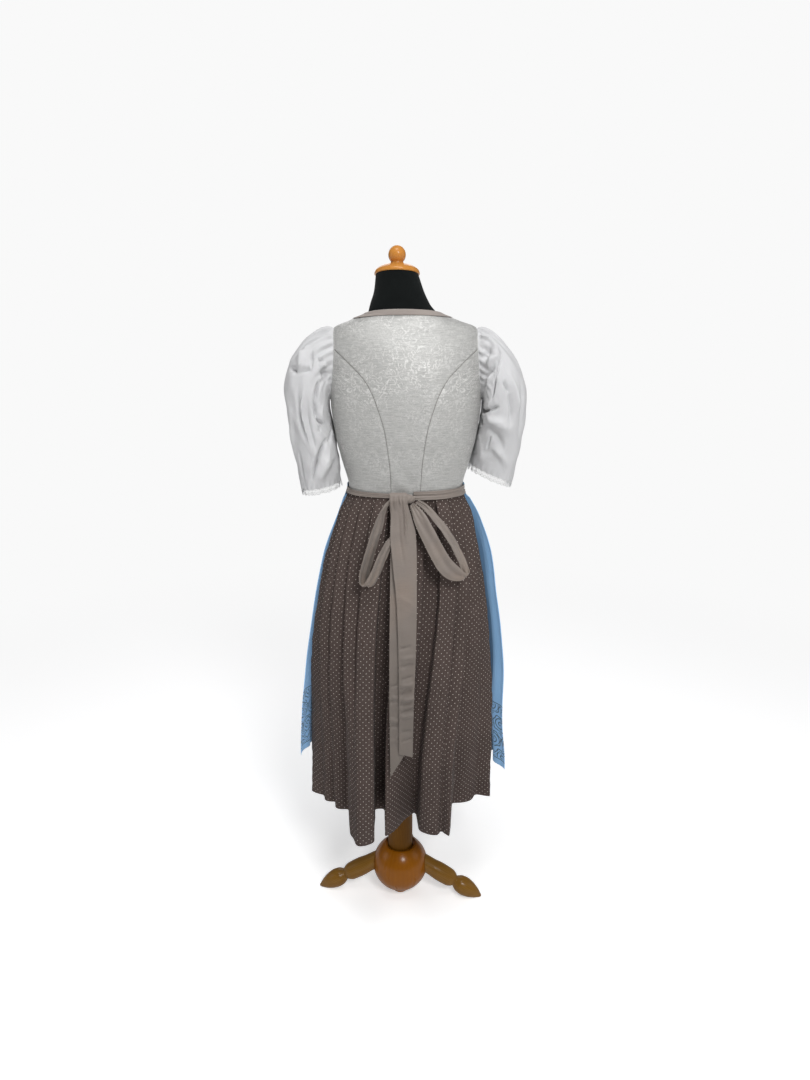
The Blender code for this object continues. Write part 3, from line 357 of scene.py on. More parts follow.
def add_node(tree: bpy.types.NodeTree, kind: str, *values: Any, out: int = 0,
             **settings: Any) -> Socket:
    """Add a node with its settings and links.

    Args:
        tree: the node tree.
        kind: the node's type name, without a shader node's first word, and after a point the
            operation or kind of data that it is set to.
        *values: for its first inputs in use, an output to link, a value, a colour or None.
        out: number of the output to return, among those in use.
        **settings: properties in lower case; inputs have a capital, and _ for a space.

    Returns:
        One output of the node, or its first input if it has none.
    """
    kind, _, option = kind.partition(".")
    node = tree.nodes.new(kind if "Node" in kind else "ShaderNode" + kind)
    if option:
        setattr(node, "operation" if hasattr(node, "operation") else "data_type", option)
    for key, value in settings.items():
        if key[0].islower():
            setattr(node, key, value)
    named = [(next(s for s in node.inputs if key in (s.identifier, s.name.replace(" ", "_"))),
              value) for key, value in settings.items() if key[0].isupper()]
    in_use = [socket for socket in node.inputs if socket.enabled]
    for socket, value in [*zip(in_use, values), *named]:
        if isinstance(value, Socket):
            tree.links.new(value, socket)
        elif value is not None:
            socket.default_value = linear(value) if str(value).startswith("#") else value
    given = [socket for socket in node.outputs if socket.enabled]
    return given[out] if given else node.inputs[0]


class Finish:
    """A finish that makes one material, the first time it is asked for."""

    name: str

    def material(self) -> bpy.types.Material:
        """Return the material of this finish."""
        name = self.name + "_finish"
        if name in bpy.data.materials:
            return bpy.data.materials[name]
        material = bpy.data.materials.new(name)
        material.use_nodes = True
        tree = material.node_tree
        shader = tree.nodes["Principled BSDF"]
        add = partial(add_node, tree)
        for key, value in self.surface(add, add("UVMap", uv_map="weave")).items():
            if isinstance(value, Socket):
                tree.links.new(value, shader.inputs[key.replace("_", " ")])
            else:
                shader.inputs[key.replace("_", " ")].default_value = value
        return material

    def surface(self, add: Add, uv: Socket) -> dict[str, Any]:
        """Make the finish's pattern, as each finish does in its own way.

        Args:
            add: adds a node to the material.
            uv: places on the cloth, metres.

        Returns:
            The Principled shader's inputs, by name.
        """
        raise NotImplementedError

    def threads(self, add: Add, uv: Socket, pitch: float, crumple: Socket, depth: float,
                strength: float = 0.25) -> Socket:
        """Return the surface's slope, with a plain weave over soft crumples.

        Args:
            add: adds a node to the material.
            uv: places on the cloth.
            pitch: width of one thread, metres.
            crumple: height of the crumples, 0 to 1.
            depth: strength of the crumples.
            strength: strength of the weave.

        Returns:
            The normal.
        """
        wave = add("VectorMath.SINE", add("VectorMath.MULTIPLY", uv, (math.tau / pitch,) * 3))
        split = add("SeparateXYZ", wave).node.outputs
        weave = add("Math.MULTIPLY", split[0], split[1])
        return add("Bump", Strength=strength, Distance=0.0002, Height=weave, Normal=add(
            "Bump", Strength=depth, Distance=0.0022, Height=crumple))


@dataclass(frozen=True)
class Jersey(Finish):
    """Knitted cotton jersey, pulled tight: black, matt, with a faint bloom at grazing angles."""

    name: str = "black_jersey"
    colour: str = "#0E1111"
    worn: str = "#161919"
    wale: float = 0.0022  # columns of stitches, drawn 3 times as wide as real to show

    def surface(self, add: Add, uv: Socket) -> dict[str, Any]:
        """Return the shader's inputs, as Finish.surface says."""
        cloud = add("TexNoise", uv, Scale=26.0, Detail=4.0)
        return {"Base_Color": add("Mix.RGBA", cloud, self.colour, self.worn),
                "Normal": self.threads(add, uv, self.wale, cloud, 0.15, 0.45),
                "Roughness": 0.95, "Specular_IOR_Level": 0.1, "Sheen_Weight": 0.04,
                "Sheen_Roughness": 0.5}


@dataclass(frozen=True)
class TurnedWood(Finish):
    """Turned and varnished softwood: grain runs along the piece, the varnish gives the gloss."""

    name: str
    light: str
    dark: str
    gloss: float = 0.3  # roughness of the varnish
    grain: float = 0.004  # width of a growth ring, metres
    turn: float = 0.16  # how much slower the grain changes along the piece
    contrast: float = 0.55  # share of the tint that follows the growth rings
    coat: float = 0.2  # how much varnish lies on it

    def surface(self, add: Add, uv: Socket) -> dict[str, Any]:
        """Return the shader's inputs, as Finish.surface says."""
        long = add("Mapping", uv, Scale=(1.0, self.turn, 1.0))
        bend = add("TexNoise", long, Scale=30.0, Detail=3.0)
        rings = add("TexWave", long, Scale=0.31 / self.grain, Distortion=6.0, Detail=3.0,
                    Detail_Scale=1.4, bands_direction="X", out=1)
        fibre = add("TexNoise", add("Mapping", uv, Scale=(1.0, 0.04, 1.0)), Scale=900.0,
                    Detail=2.0)
        streak = add("Mix", self.contrast, bend, rings)
        tint = add("Mix.RGBA", streak, self.light, self.dark)
        tint = add("Mix.RGBA", add("Math.MULTIPLY", fibre, 0.35), tint, self.dark)
        return {"Base_Color": tint,
                "Normal": add("Bump", Strength=0.12, Distance=0.0004, Height=fibre),
                "Roughness": add("Math.MULTIPLY_ADD", bend, 0.15, self.gloss - 0.05),
                "Specular_IOR_Level": 0.15, "Coat_Weight": self.coat, "Coat_Roughness": 0.16}


@dataclass(frozen=True)
class Jacquard(Finish):
    """Jacquard: fine pale scrolls and leaves woven into silver-grey, with uneven weft lines."""

    name: str = "silver_jacquard"
    ground: str = "#B0B0AD"
    figure: str = "#E6E5E2"
    shade: str = "#8A8A88"
    motif: float = 0.017  # usual size of a scroll, metres
    weft: float = 0.0013  # uneven weft lines, drawn twice as thick as real to show

    def surface(self, add: Add, uv: Socket) -> dict[str, Any]:
        """Return the shader's inputs, as Finish.surface says."""
        lines = []
        # Stems and curls follow the level lines of two slow, curling fields.
        for size, turns, twist in ((1.0, 26.0, 1.6), (0.55, 17.0, 0.8)):
            field_of = add("TexNoise", uv, Scale=1 / (self.motif * size), Detail=1.2,
                           Distortion=twist)
            wave = add("Math.SINE", add("Math.MULTIPLY", field_of, turns))
            lines.append(add("MapRange", wave, 0.55, 0.92))
        zone = add("MapRange", add("TexNoise", uv, Scale=26.0, Detail=2.0), 0.46, 0.58)
        scrolls = add("Mix", zone, lines[0], lines[1])
        # The figure wears thin in patches, and it is painted stronger towards the upper back: a
        # painted highlight for the light that falls on the top of the bodice from above.
        patch = add("MapRange", add("TexNoise", uv, Scale=9.0, Detail=3.0), 0.36, 0.62, 0.25)
        # painted highlight: the pale figure shows at half strength low down and at full strength
        # from 1.1 m up to 1.36 m
        high = add("MapRange", add("SeparateXYZ", uv, out=1), 1.1, 1.36, 0.5)
        seen = add("Math.MULTIPLY", add("Math.MULTIPLY", scrolls, patch), high)
        weft = add("MapRange", add("TexNoise", add("Mapping", uv, Scale=(0.05, 1.0, 1.0)),
                                   Scale=1 / self.weft, Detail=3.0, Roughness=0.8), 0.36, 0.56)
        speck = add("TexNoise", uv, Scale=560.0, Detail=1.0)
        tint = add("Mix.RGBA", weft, self.shade, self.ground)
        for share, layer in ((0.66, seen), (0.34, speck)):
            tint = add("Mix.RGBA", add("Math.MULTIPLY", layer, share), tint, self.figure)
        height = add("Math.MULTIPLY_ADD", scrolls, 0.5, add("Math.MULTIPLY", weft, 0.5))
        return {"Base_Color": tint,
                "Normal": add("Bump", Strength=0.5, Distance=0.0004, Height=height),
                "Roughness": add("Math.MULTIPLY_ADD", seen, -0.2, 0.52),
                "Metallic": 0.15, "Sheen_Weight": 0.12, "Sheen_Roughness": 0.35}


@dataclass(frozen=True)
class PlainCotton(Finish):
    """Plain woven cotton: matt, even, with fine crumples that an iron didn't take out."""

    name: str
    colour: str
    shade: str
    thread: float = 0.0009  # thread pitch, drawn about twice as wide as real to show
    crumple: float = 0.5  # strength of the fine crumples
    sheen: float = 0.1

    def surface(self, add: Add, uv: Socket) -> dict[str, Any]:
        """Return the shader's inputs, as Finish.surface says."""
        cloud = add("TexNoise", uv, Scale=14.0, Detail=5.0)
        crumple = add("TexNoise", uv, Scale=34.0, Detail=3.0, Roughness=0.45, Distortion=0.6)
        return {"Base_Color": add("Mix.RGBA", cloud, self.colour, self.shade),
                "Normal": self.threads(add, uv, self.thread, crumple, self.crumple),
                "Roughness": 0.82, "Specular_IOR_Level": 0.25, "Sheen_Weight": self.sheen}


@dataclass(frozen=True)
class DottedCotton(Finish):
    """Printed cotton: small pale dots in a diagonal grid on brown, matt, with a faint slub."""

    name: str = "brown_cotton"
    ground: str = "#483A36"
    shade: str = "#332825"
    dot: str = "#DDD1C8"
    cell: float = 0.0131  # side of the square that holds two dots, metres
    radius: float = 0.0008

    def surface(self, add: Add, uv: Socket) -> dict[str, Any]:
        """Return the shader's inputs, as Finish.surface says."""
        near = []
        for start in (0.0, 0.5):
            moved = add("Mapping", uv, (start, start, 0.0), Scale=(1 / self.cell,) * 3)
            within = add("VectorMath.MULTIPLY_ADD", add("VectorMath.FRACTION", moved),
                         (1.0, 1.0, 0.0), (-0.5, -0.5, 0.0))
            near.append(add("VectorMath.LENGTH", within))
        reach = self.radius / self.cell
        dots = add("MapRange", add("Math.MINIMUM", *near), reach * 1.25, reach * 0.75)
        cloud = add("TexNoise", uv, Scale=11.0, Detail=5.0)
        slub = add("TexNoise", add("Mapping", uv, Scale=(1.0, 0.06, 1.0)), Scale=700.0)
        tint = add("Mix.RGBA", cloud, self.ground, self.shade)
        for share, layer in ((0.1, slub), (1.0, dots)):
            tint = add("Mix.RGBA", add("Math.MULTIPLY", layer, share), tint, self.dot)
        crumple = add("TexNoise", uv, Scale=22.0, Detail=3.0)
        return {"Base_Color": tint, "Normal": self.threads(add, uv, 0.0009, crumple, 0.7),
                "Roughness": 0.88, "Specular_IOR_Level": 0.1, "Sheen_Weight": 0.02}


@dataclass(frozen=True)
class BorderedCotton(Finish):
    """Smooth blue cotton with a border of dark printed scrolls and leaves above the hem."""

    name: str = "blue_cotton"
    colour: str = "#8AB2D8"
    shade: str = "#78A2C9"
    ink: str = "#333A42"
    low: float = 0.02  # foot of the border above the hem, metres
    high: float = 0.165  # and its head
    scroll: float = 0.046  # width of one scroll
    painted_glow: float = 0.46  # strength of the painted glow that stands in for light coming through the thin cloth from behind

    def surface(self, add: Add, uv: Socket) -> dict[str, Any]:
        """Return the shader's inputs, as Finish.surface says."""
        up = add("SeparateXYZ", uv, out=1)
        rows = []
        # Large scrolls, small where the print is broken: a coiled stem in a petalled ring.
        for size in (self.scroll, self.scroll * 0.5):
            grid = add("Mapping", uv, (0.27, 0.0, 0.0), Scale=(1 / size,) * 3)
            step = add("Math.MULTIPLY", add("Math.FLOOR", add("SeparateXYZ", grid, out=1)), 0.5)
            shifted = add("VectorMath", grid, add("CombineXYZ", step))
            place = add("VectorMath.MULTIPLY_ADD", add("VectorMath.FRACTION", shifted),
                        (1.0, 1.0, 0.0), (-0.5, -0.5, 0.0))
            split = add("SeparateXYZ", place).node.outputs
            away = add("VectorMath.LENGTH", place)
            angle = add("Math.ARCTAN2", split[1], split[0])
            coil = add("Math.FRACT", add("Math.MULTIPLY_ADD", away, 5.2, add(
                "Math.MULTIPLY", angle, -0.5 / math.pi)))
            wavy = add("Math.SINE", add("Math.MULTIPLY", angle, 7.0))
            petal = add("Math.MULTIPLY_ADD", wavy, 0.035, 0.455)
            line = add("Math.COMPARE", coil, 0.5, 0.15)
            inside = add("Math.LESS_THAN", away, 0.4)
            frill = add("Math.COMPARE", away, petal, 0.03)
            rows.append(add("Math.MAXIMUM", add("Math.MULTIPLY", line, inside), frill))
        broken = add("Math.GREATER_THAN", add("TexNoise", uv, Scale=30.0), 0.54)
        ink = add("Mix", broken, rows[0], rows[1])
        middle, half = (self.low + self.high) / 2, (self.high - self.low) / 2
        ink = add("Math.MULTIPLY", ink, add("Math.COMPARE", up, middle, half))
        for level in (self.low - 0.003, self.high + 0.003):
            ink = add("Math.MAXIMUM", ink, add("Math.COMPARE", up, level, 0.0011))
        tint = add("Mix.RGBA", add("TexNoise", uv, Scale=9.0, Detail=4.0), self.colour, self.shade)
        tint = add("Mix.RGBA", add("Math.MULTIPLY", ink, 0.85), tint, self.ink)
        crumple = add("TexNoise", uv, Scale=20.0, Detail=3.0)
        # Beside the skirt nothing dark lies behind the cloth, and the cloth glows there in its own
        # colour: painted light, standing in for light that comes through it.
        glow_beside_skirt = add("MapRange", add("SeparateXYZ", add("TexCoord", out=3), out=1),
                     -0.11, -0.04, interpolation_type="SMOOTHSTEP")
        return {"Base_Color": tint,
                "Normal": self.threads(add, uv, 0.0009, crumple, 0.45, 0.2),
                "Roughness": 0.62, "Sheen_Weight": 0.12, "Emission_Color": tint,
                "Emission_Strength": add("Math.MULTIPLY", glow_beside_skirt, self.painted_glow)}


@dataclass(frozen=True)
class SatinRibbon(Finish):
    """Satin-backed cotton ribbon: taupe, a soft gloss across its width, faint stretch marks."""

    name: str = "taupe_ribbon"
    colour: str = "#8F857D"
    shade: str = "#786E67"
    warm: str = "#9C8776"
    low: str = "#6E665F"  # painted shade: the tails are darker lower down, where they hang away from the light
    gloss: float = 0.58

    def surface(self, add: Add, uv: Socket) -> dict[str, Any]:
        """Return the shader's inputs, as Finish.surface says."""
        tint = add("Mix.RGBA", add("TexNoise", uv, Scale=16.0, Detail=4.0), self.colour,
                   self.shade)
        patch = add("MapRange", add("TexNoise", uv, Scale=7.0, Detail=1.0), 0.52, 0.72, To_Max=0.6)
        tint = add("Mix.RGBA", patch, tint, self.warm)
        # painted shade: below 0.9 m the ribbon is mixed towards the darker low colour, most from
        # 0.62 m down
        height = add("SeparateXYZ", add("TexCoord", out=3), out=2)
        painted_low_shade = add("MapRange", height, 0.9, 0.62, To_Max=0.8)
        tint = add("Mix.RGBA", painted_low_shade, tint, self.low)
        slub = add("TexNoise", add("Mapping", uv, Scale=(0.1, 1.0, 1.0)), Scale=700.0, Detail=2.0)
        tint = add("Mix.RGBA", add("MapRange", slub, 0.5, 0.7, To_Max=0.35), tint, self.shade)
        drag = add("TexNoise", add("Mapping", uv, Scale=(0.35, 1.0, 1.0)), Scale=60.0, Detail=3.0)
        return {"Base_Color": tint, "Normal": self.threads(add, uv, 0.0008, drag, 0.25, 0.2),
                "Roughness": self.gloss, "Sheen_Weight": 0.25, "Sheen_Roughness": 0.4}


@dataclass(frozen=True)
class StudioPaper(Finish):
    """Seamless background paper: white and matt, lit from behind where it sweeps away."""

    name: str = "studio_paper"
    colour: str = "#F4F4F4"
    cloud: str = "#EFEFEF"  # soft, uneven patches
    far: str = "#F9F9F9"
    glow: float = 0.5  # how bright the near paper looks by itself
    lift: float = 0.08  # and how much of that light it gives to what stands on it

    def surface(self, add: Add, uv: Socket) -> dict[str, Any]:
        """Return the shader's inputs, as Finish.surface says."""
        place = add("TexCoord", out=3)
        away = add("MapRange", add("VectorMath.LENGTH", place),
                   0.9, 3.0, interpolation_type="SMOOTHSTEP")
        cloud = add("Math.MULTIPLY", add("TexNoise", place, Scale=2.0), 0.2)
        paper = add("Mix.RGBA", cloud, self.colour, self.cloud)
        near = add("Mix", add("LightPath"), self.lift, self.glow)
        return {"Base_Color": add("Mix.RGBA", away, paper, "#000000"),
                "Emission_Color": linear(self.far),
                "Emission_Strength": add("Mix", away, near, 1.0),
                "Roughness": 0.95, "Specular_IOR_Level": 0.0}


class Palette(Enum):
    """Every finish of the object."""

    JERSEY = Jersey()
    HONEY = TurnedWood("honey_wood", "#D2964A", "#B87430", gloss=0.28, contrast=0.4)
    AMBER = TurnedWood("amber_wood", "#A0610F", "#8B5109", gloss=0.26, grain=0.012, contrast=0.2)
    OLIVE = TurnedWood("olive_wood", "#98702F", "#765019", gloss=0.32, contrast=0.4)
    POLE = TurnedWood("pole_wood", "#7A5010", "#5A3806", gloss=0.5, coat=0.0)
    JACQUARD = Jacquard()
    BINDING = PlainCotton("taupe_binding", "#A39A94", "#8F8680", crumple=0.25, sheen=0.2)
    WHITE = PlainCotton("white_cotton", "#D5D5D6", "#C8C8C9", crumple=1.0)
    LACE = PlainCotton("white_lace", "#E9E9E8", "#D9D9D8", crumple=0.0)
    DOTTED = DottedCotton()
    BLUE = BorderedCotton()
    BLUE_BAND = PlainCotton("blue_band", "#7FA9CC", "#6E97BA", crumple=0.3)
    RIBBON = SatinRibbon()
    THREAD = PlainCotton("sewing_thread", "#7F766F", "#736A63", crumple=0.0)
    # partly real, partly painted shade: the seam thread is darker than the cloth to stand in for
    # the shadow line along the seams
    SEAM = PlainCotton("seam_thread", "#85827E", "#76736F", crumple=0.0)


def dress(item: Piece, palette: Palette, slot: str | None, *nodes: str) -> Piece:
    """Give a piece its finish and its place in the part.

    Args:
        item: the piece.
        palette: its finish.
        slot: the record's material slot; not used.
        *nodes: the CAD nodes that it stands for.

    Returns:
        The piece.
    """
    item.data.materials.clear()
    item.data.materials.append(palette.value.material())
    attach(item, ROOT)
    if nodes:
        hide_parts(*nodes)
    LOG.info("%s: %d faces", item.name, len(item.data.polygons))
    return item


# ---- the figure under the cloth
@dataclass
class Hull:
    """A rounded tube through sections: height, half width, depth behind and in front, shift."""

    sections: Grid

    def at(self, z: Any) -> Grid:
        """Return half width, depth behind, depth in front and shift at heights."""
        return smooth_curve(self.sections[:, 0], self.sections[:, 1:], z)

    def point(self, turn: Any, z: Any) -> Grid:
        """Find points on the hull.

        Args:
            turn: turns, in degrees.
            z: heights.

        Returns:
            The points, along a last axis of 3.
        """
        turn, z = np.broadcast_arrays(np.radians(turn), np.asarray(z, float))
        row = self.at(z)
        cosine, sine = np.cos(turn), np.sin(turn)
        depth = np.where(sine >= 0.0, row[..., 1], row[..., 2])
        power = 2 / ROUND_POWER
        return np.stack([row[..., 3] + row[..., 0] * signed_power(cosine, power),
                         depth * signed_power(sine, power), z], axis=-1)

    def normal(self, turn: Any, z: Any) -> Grid:
        """Find the hull's outward normals.

        Args:
            turn: turns, in degrees.
            z: heights.

        Returns:
            The normals, at a length of 1.
        """
        turn, z = np.broadcast_arrays(np.asarray(turn, float), np.asarray(z, float))
        along = self.point(turn + 0.5, z) - self.point(turn - 0.5, z)
        rise = 0.0015  # half the step over which the slope is read
        low, high = self.sections[[0, -1], 0]
        up = self.point(turn, np.minimum(z + rise, high)) - self.point(
            turn, np.maximum(z - rise, low))
        return unit(np.cross(along, up))

    def lifted(self, turn: Any, z: Any, lift: Any) -> Grid:
        """Return points at a distance outside the hull."""
        return self.point(turn, z) + np.asarray(lift)[..., None] * self.normal(turn, z)


def hull(*rows: tuple[float, ...]) -> Any:
    """Return a field that holds the hull through these sections, written in millimetres."""
    return field(default_factory=lambda: Hull(np.array(rows, float) / 1000.0))


@dataclass
class Figure:
    """The shapes that the cloth follows, with the armhole and the seams on them."""

    waist_z: float = 1.0562
    hem_z: float = 0.28
    neck_top_z: float = 1.507
    neck_lean: float = 0.16  # how much the neck's flat top rises towards the back
    form_foot_z: float = 0.76
    neck_point_z: float = 1.428
    back_neck_z: float = 1.438
    armhole_z: float = 1.325
    armhole_half_height: float = 0.077
    armhole_half_width: float = 0.04
    seam_foot_z: float = 1.0565
    princess_top_z: float = 1.358
    body: Hull = hull(
        (760, 118, 82, 80, 0), (800, 140, 100, 98, -3), (860, 153, 110, 108, -6),
        (930, 149, 104, 106, -9), (1000, 137, 94, 98, -12), (1056, 126.2, 88, 92, -13.5),
        (1129, 144, 96, 108, -14), (1184, 156, 104, 126, -14), (1250, 163, 107, 134, -14),
        (1300, 163, 104, 122, -14), (1350, 161, 94, 100, -14), (1385, 157, 77, 75, -13),
        (1402, 149, 63, 58, -12), (1416, 115, 55, 47, -10), (1428, 82.5, 52, 43, -8.5),
        (1438, 76.8, 50.5, 42.5, -5.5), (1452, 68.8, 48.5, 42, -1.5), (1474, 56.8, 47, 43, 0.5),
        (1507, 44.5, 45.5, 45.5, 4.5))
    skirt: Hull = hull(
        (280, 224.5, 170, 187, -2.5), (474, 220.5, 166, 183, -4.5), (601, 214, 159, 175, -4),
        (701, 203, 150, 165, -4), (798, 187.5, 138, 150, -5.5), (903, 168, 120, 130, -8),
        (1003, 142, 100, 107, -12), (1056.2, 126.2, 88, 92, -13.5))
    apron: Hull = hull(
        (335, 239.5, 200, 222, -6.5), (380, 238.5, 198, 220, -6), (474, 233, 192, 214, -4),
        (601, 228, 184, 203, -10), (701, 219.5, 172, 190, -13), (798, 206, 155, 172, -14),
        (903, 188, 135, 149, -18), (990, 157, 110, 123, -19), (1035.7, 136.5, 96, 103, -14.5))
    princess_z: tuple[float, ...] = (1.0565, 1.115, 1.15, 1.192, 1.231, 1.268, 1.298, 1.328)
    princess_x: tuple[float, ...] = (0.031, 0.034, 0.038, 0.0445, 0.0555, 0.069, 0.0865, 0.1155)

    @property
    def underarm_z(self) -> float:
        """Height of the armhole's lowest point."""
        return self.armhole_z - self.armhole_half_height

    @property
    def shoulder_z(self) -> float:
        """Height of the armhole's highest point."""
        return self.armhole_z + self.armhole_half_height

    @property
    def seam_angle(self) -> float:
        """Angle on the armhole where the back princess seam ends."""
        return math.degrees(math.acos((self.princess_top_z - self.armhole_z)
                                      / self.armhole_half_height))

    def turn_from_depth(self, y: Grid, z: Grid) -> Grid:
        """Find where the body has these depths.

        Args:
            y: depths behind its centre, negative in front of it.
            z: heights.

        Returns:
            The turns, from -90 to 90.
        """
        row = self.body.at(z)
        depth = np.where(y >= 0.0, row[..., 1], row[..., 2])
        share = np.minimum(np.abs(y) / depth, 1.0)
        return np.sign(y) * np.degrees(np.arcsin(share ** (ROUND_POWER / 2)))

    def turn_from_side(self, x: Grid, z: Grid) -> Grid:
        """Return the turns, from 0 to 90, where the body has these distances from its centre."""
        share = np.minimum(np.abs(x) / self.body.at(z)[..., 0], 1.0)
        return np.degrees(np.arccos(share ** (ROUND_POWER / 2)))

    def armhole(self, angle: Any) -> tuple[Grid, Grid]:
        """Return turns and heights on the left armhole: 0 is the shoulder, 90 the back."""
        angle = np.radians(angle)
        z = self.armhole_z + self.armhole_half_height * np.cos(angle)
        return self.turn_from_depth(self.armhole_half_width * np.sin(angle), z), z

    def princess(self, levels: int) -> tuple[Grid, Grid]:
        """Trace the left back princess seam.

        Args:
            levels: how many points it has.

        Returns:
            Its turns and heights, from the waist up.
        """
        top_turn, top_z = self.armhole(self.seam_angle)
        shift = self.body.at(top_z)[3]
        heights = np.append(self.princess_z, top_z)
        sides = np.append(self.princess_x, self.body.point(top_turn, top_z)[0] - shift)
        fine = np.linspace(heights[0], heights[-1], 200)
        fine_sides = smooth_curve(heights, sides, fine)
        length = run_lengths(np.stack([fine, fine_sides], axis=1))
        z = np.interp(np.linspace(0.0, length[-1], levels), length, fine)
        return self.turn_from_side(smooth_curve(heights, sides, z), z), z

    def front_neck(self, count: int) -> tuple[Grid, Grid]:
        """Trace the left front neckline.

        Args:
            count: how many points it has.

        Returns:
            Its turns and heights, from the centre front up.
        """
        sides = (0.0, 0.048, 0.074, 0.0825, 0.084, 0.0845, 0.084, 0.0835, 0.0825)
        heights = (1.288, 1.289, 1.297, 1.319, 1.352, 1.386, 1.408, 1.42, self.neck_point_z)
        marks = np.linspace(0.0, len(sides) - 1, count)
        steps = np.arange(len(sides))
        z = smooth_curve(steps, heights, marks)
        return 360 - self.turn_from_side(smooth_curve(steps, sides, marks), z), z


# ---- dress form and stand
@dataclass
class DressForm:
    """The cloth-covered torso and neck, on a turned pole, ball and three legs."""

    figure: Figure
    depth: float = 0.0068  # how far the form lies under the bodice's outer face
    columns: int = 120
    leg_sides: int = 56
    pole_radius: float = 0.0308
    ball_radius: float = 0.069
    ball_z: float = 0.078
    socket_radius: float = 0.0318
    socket_floor_z: float = 0.118
    groove_radius: float = 0.0385
    peg_radius: float = 0.019
    knob_radius: float = 0.0182
    knob_z: float = 1.5468
    cap_radius: float = 0.0475
    rim_height: float = 0.0014
    neck_radius: float = 0.0128  # of the cap, under the knob
    leg_axis_out: float = 0.0675
    leg_axis_z: float = 0.08
    leg_slope: float = math.radians(29.5)
    leg_turns: dict[str, float] = field(default_factory=lambda: {
        "leg_left": -2.0, "leg_right": 171.0, "leg_front": 265.0})
    leg_along: tuple[float, ...] = (0.004, 0.03, 0.056, 0.068, 0.0725, 0.077, 0.086, 0.1,
                                    0.116, 0.134, 0.148)
    leg_radius: tuple[float, ...] = (0.0205, 0.0225, 0.0215, 0.017, 0.0135, 0.016, 0.0208,
                                     0.0226, 0.02, 0.013, 0.0045)

    def build(self) -> None:
        """Build the form, its cap and its stand."""
        self.torso()
        self.cap()
        self.post()
        for name, turn in self.leg_turns.items():
            self.leg(name, math.radians(turn))

    def torso(self) -> None:
        """Build the jersey cover: one smooth skin with a flat foot and top."""
        figure, columns = self.figure, self.columns
        z = np.concatenate([np.linspace(figure.form_foot_z, 1.36, 70),
                            np.linspace(1.365, figure.neck_top_z, 60)])
        turn = np.linspace(0.0, 360.0, columns, endpoint=False)
        depth = self.depth * np.minimum(1.0, (figure.neck_top_z - z) / (figure.neck_top_z - 1.45))
        grid = figure.body.lifted(turn[None, :], z[:, None], -np.broadcast_to(
            depth[:, None], (len(z), columns)))
        grid[0, :, 2], grid[-1, :, 2] = z[0], z[-1]
        lean = figure.neck_lean * ease((z - 1.46) / (figure.neck_top_z - 1.46))
        grid[..., 2] += lean[:, None] * grid[..., 1]
        item = cloth_wall("jersey_cover", grid, grid, closed=True, ends=True)
        dress(item, Palette.JERSEY, "black_jersey", "form_torso")

    def turned(self, name: str, profile: Sequence[Pair], palette: Palette, slot: str,
               node: str, centre_x: float = 0.0, sides: int = 72, lean: float = 0.0) -> None:
        """Build a turned piece.

        Args:
            name: the piece's name.
            profile: radius and height of each ring, from the foot up.
            palette: its finish.
            slot: the record's material slot.
            node: the CAD node that it stands for.
            centre_x: where its axis stands.
            sides: how many facets run round it.
            lean: how much its foot rises towards the back.
        """
        turn = np.linspace(0.0, math.tau, sides, endpoint=False)
        rings = np.array(profile)
        ring = np.stack([np.cos(turn), np.sin(turn)], axis=-1)
        grid = np.empty((len(rings), sides, 3))
        grid[..., :2] = rings[:, None, :1] * ring[None]
        grid[..., 0] += centre_x
        upright = ease((rings[:, 1] - rings[0, 1]) / 0.03)[:, None]
        grid[..., 2] = rings[:, None, 1] + lean * (1 - upright) * grid[..., 1]
        widest = rings[:, 0].max()
        around = np.linspace(0.0, math.tau * widest, sides + 1)[None, :]
        along = run_lengths(rings)[:, None]
        item = cloth_wall(name, grid, grid, Weave.even(around, along), closed=True, ends=True)
        dress(item, palette, slot, node)

    def cap(self) -> None:
        """Build the neck cap with its knob."""
        low = self.figure.neck_top_z + GAP
        foot = self.knob_z - self.knob_radius * 0.8
        rim = self.cap_radius
        # From the foot up: a thin rim, a dome, a narrow neck and the knob.
        profile = [(rim * 0.5, low), (rim - 0.0012, low), (rim - 0.0002, low + 0.0008)]
        base = low + self.rim_height
        rise = foot - 0.001 - base
        profile += [(rim * math.cos(angle), base + rise * math.sin(angle))
                    for angle in np.radians(np.linspace(0.0, 73.0, 22))]
        profile += [(self.neck_radius, foot + 0.0004), (self.neck_radius + 0.0004, foot + 0.002)]
        start = math.asin(-0.56)
        for angle in np.linspace(start, math.radians(88.0), 22):
            profile.append((self.knob_radius * math.cos(angle),
                            self.knob_z + self.knob_radius * 1.04 * math.sin(angle)))
        self.turned("turned_cap", profile, Palette.HONEY, "honey_wood", "neck_cap",
                    centre_x=self.figure.body.at(self.figure.neck_top_z)[3],
                    lean=self.figure.neck_lean)

    def post(self) -> None:
        """Build the pole, the ball that holds it and the peg under the ball."""
        top = self.figure.form_foot_z - GAP
        foot = self.socket_floor_z + GAP
        pole = [(self.pole_radius - 0.001, foot), (self.pole_radius, foot + 0.001)]
        pole += [(self.pole_radius, z) for z in np.linspace(foot + 0.012, top, 12)]
        self.turned("turned_pole", pole, Palette.POLE, "honey_wood", "pole")
        rim = math.acos(self.groove_radius / self.ball_radius)
        low = -math.acos(self.peg_radius * 0.9 / self.ball_radius)
        ball = [(self.ball_radius * math.cos(a), self.ball_z + self.ball_radius * math.sin(a))
                for a in np.linspace(low, rim, 40)]
        # The groove's wall and floor, then the socket that the pole stands in.
        ball += [(0.0378, 0.1352), (0.0368, 0.134), (0.0352, 0.1332), (0.0338, 0.1328),
                 (self.socket_radius, 0.132), (self.socket_radius, self.socket_floor_z)]
        self.turned("turned_ball", ball, Palette.AMBER, "amber_wood", "base_ball", sides=96)
        peg_top = ball[0][1] - GAP
        peg = [(self.peg_radius - 0.0006, 0.0), (self.peg_radius, 0.0006),
               (self.peg_radius * 0.98, peg_top * 0.4), (self.peg_radius * 0.92, peg_top)]
        self.turned("turned_peg", peg, Palette.HONEY, "honey_wood", "centre_peg", sides=48)

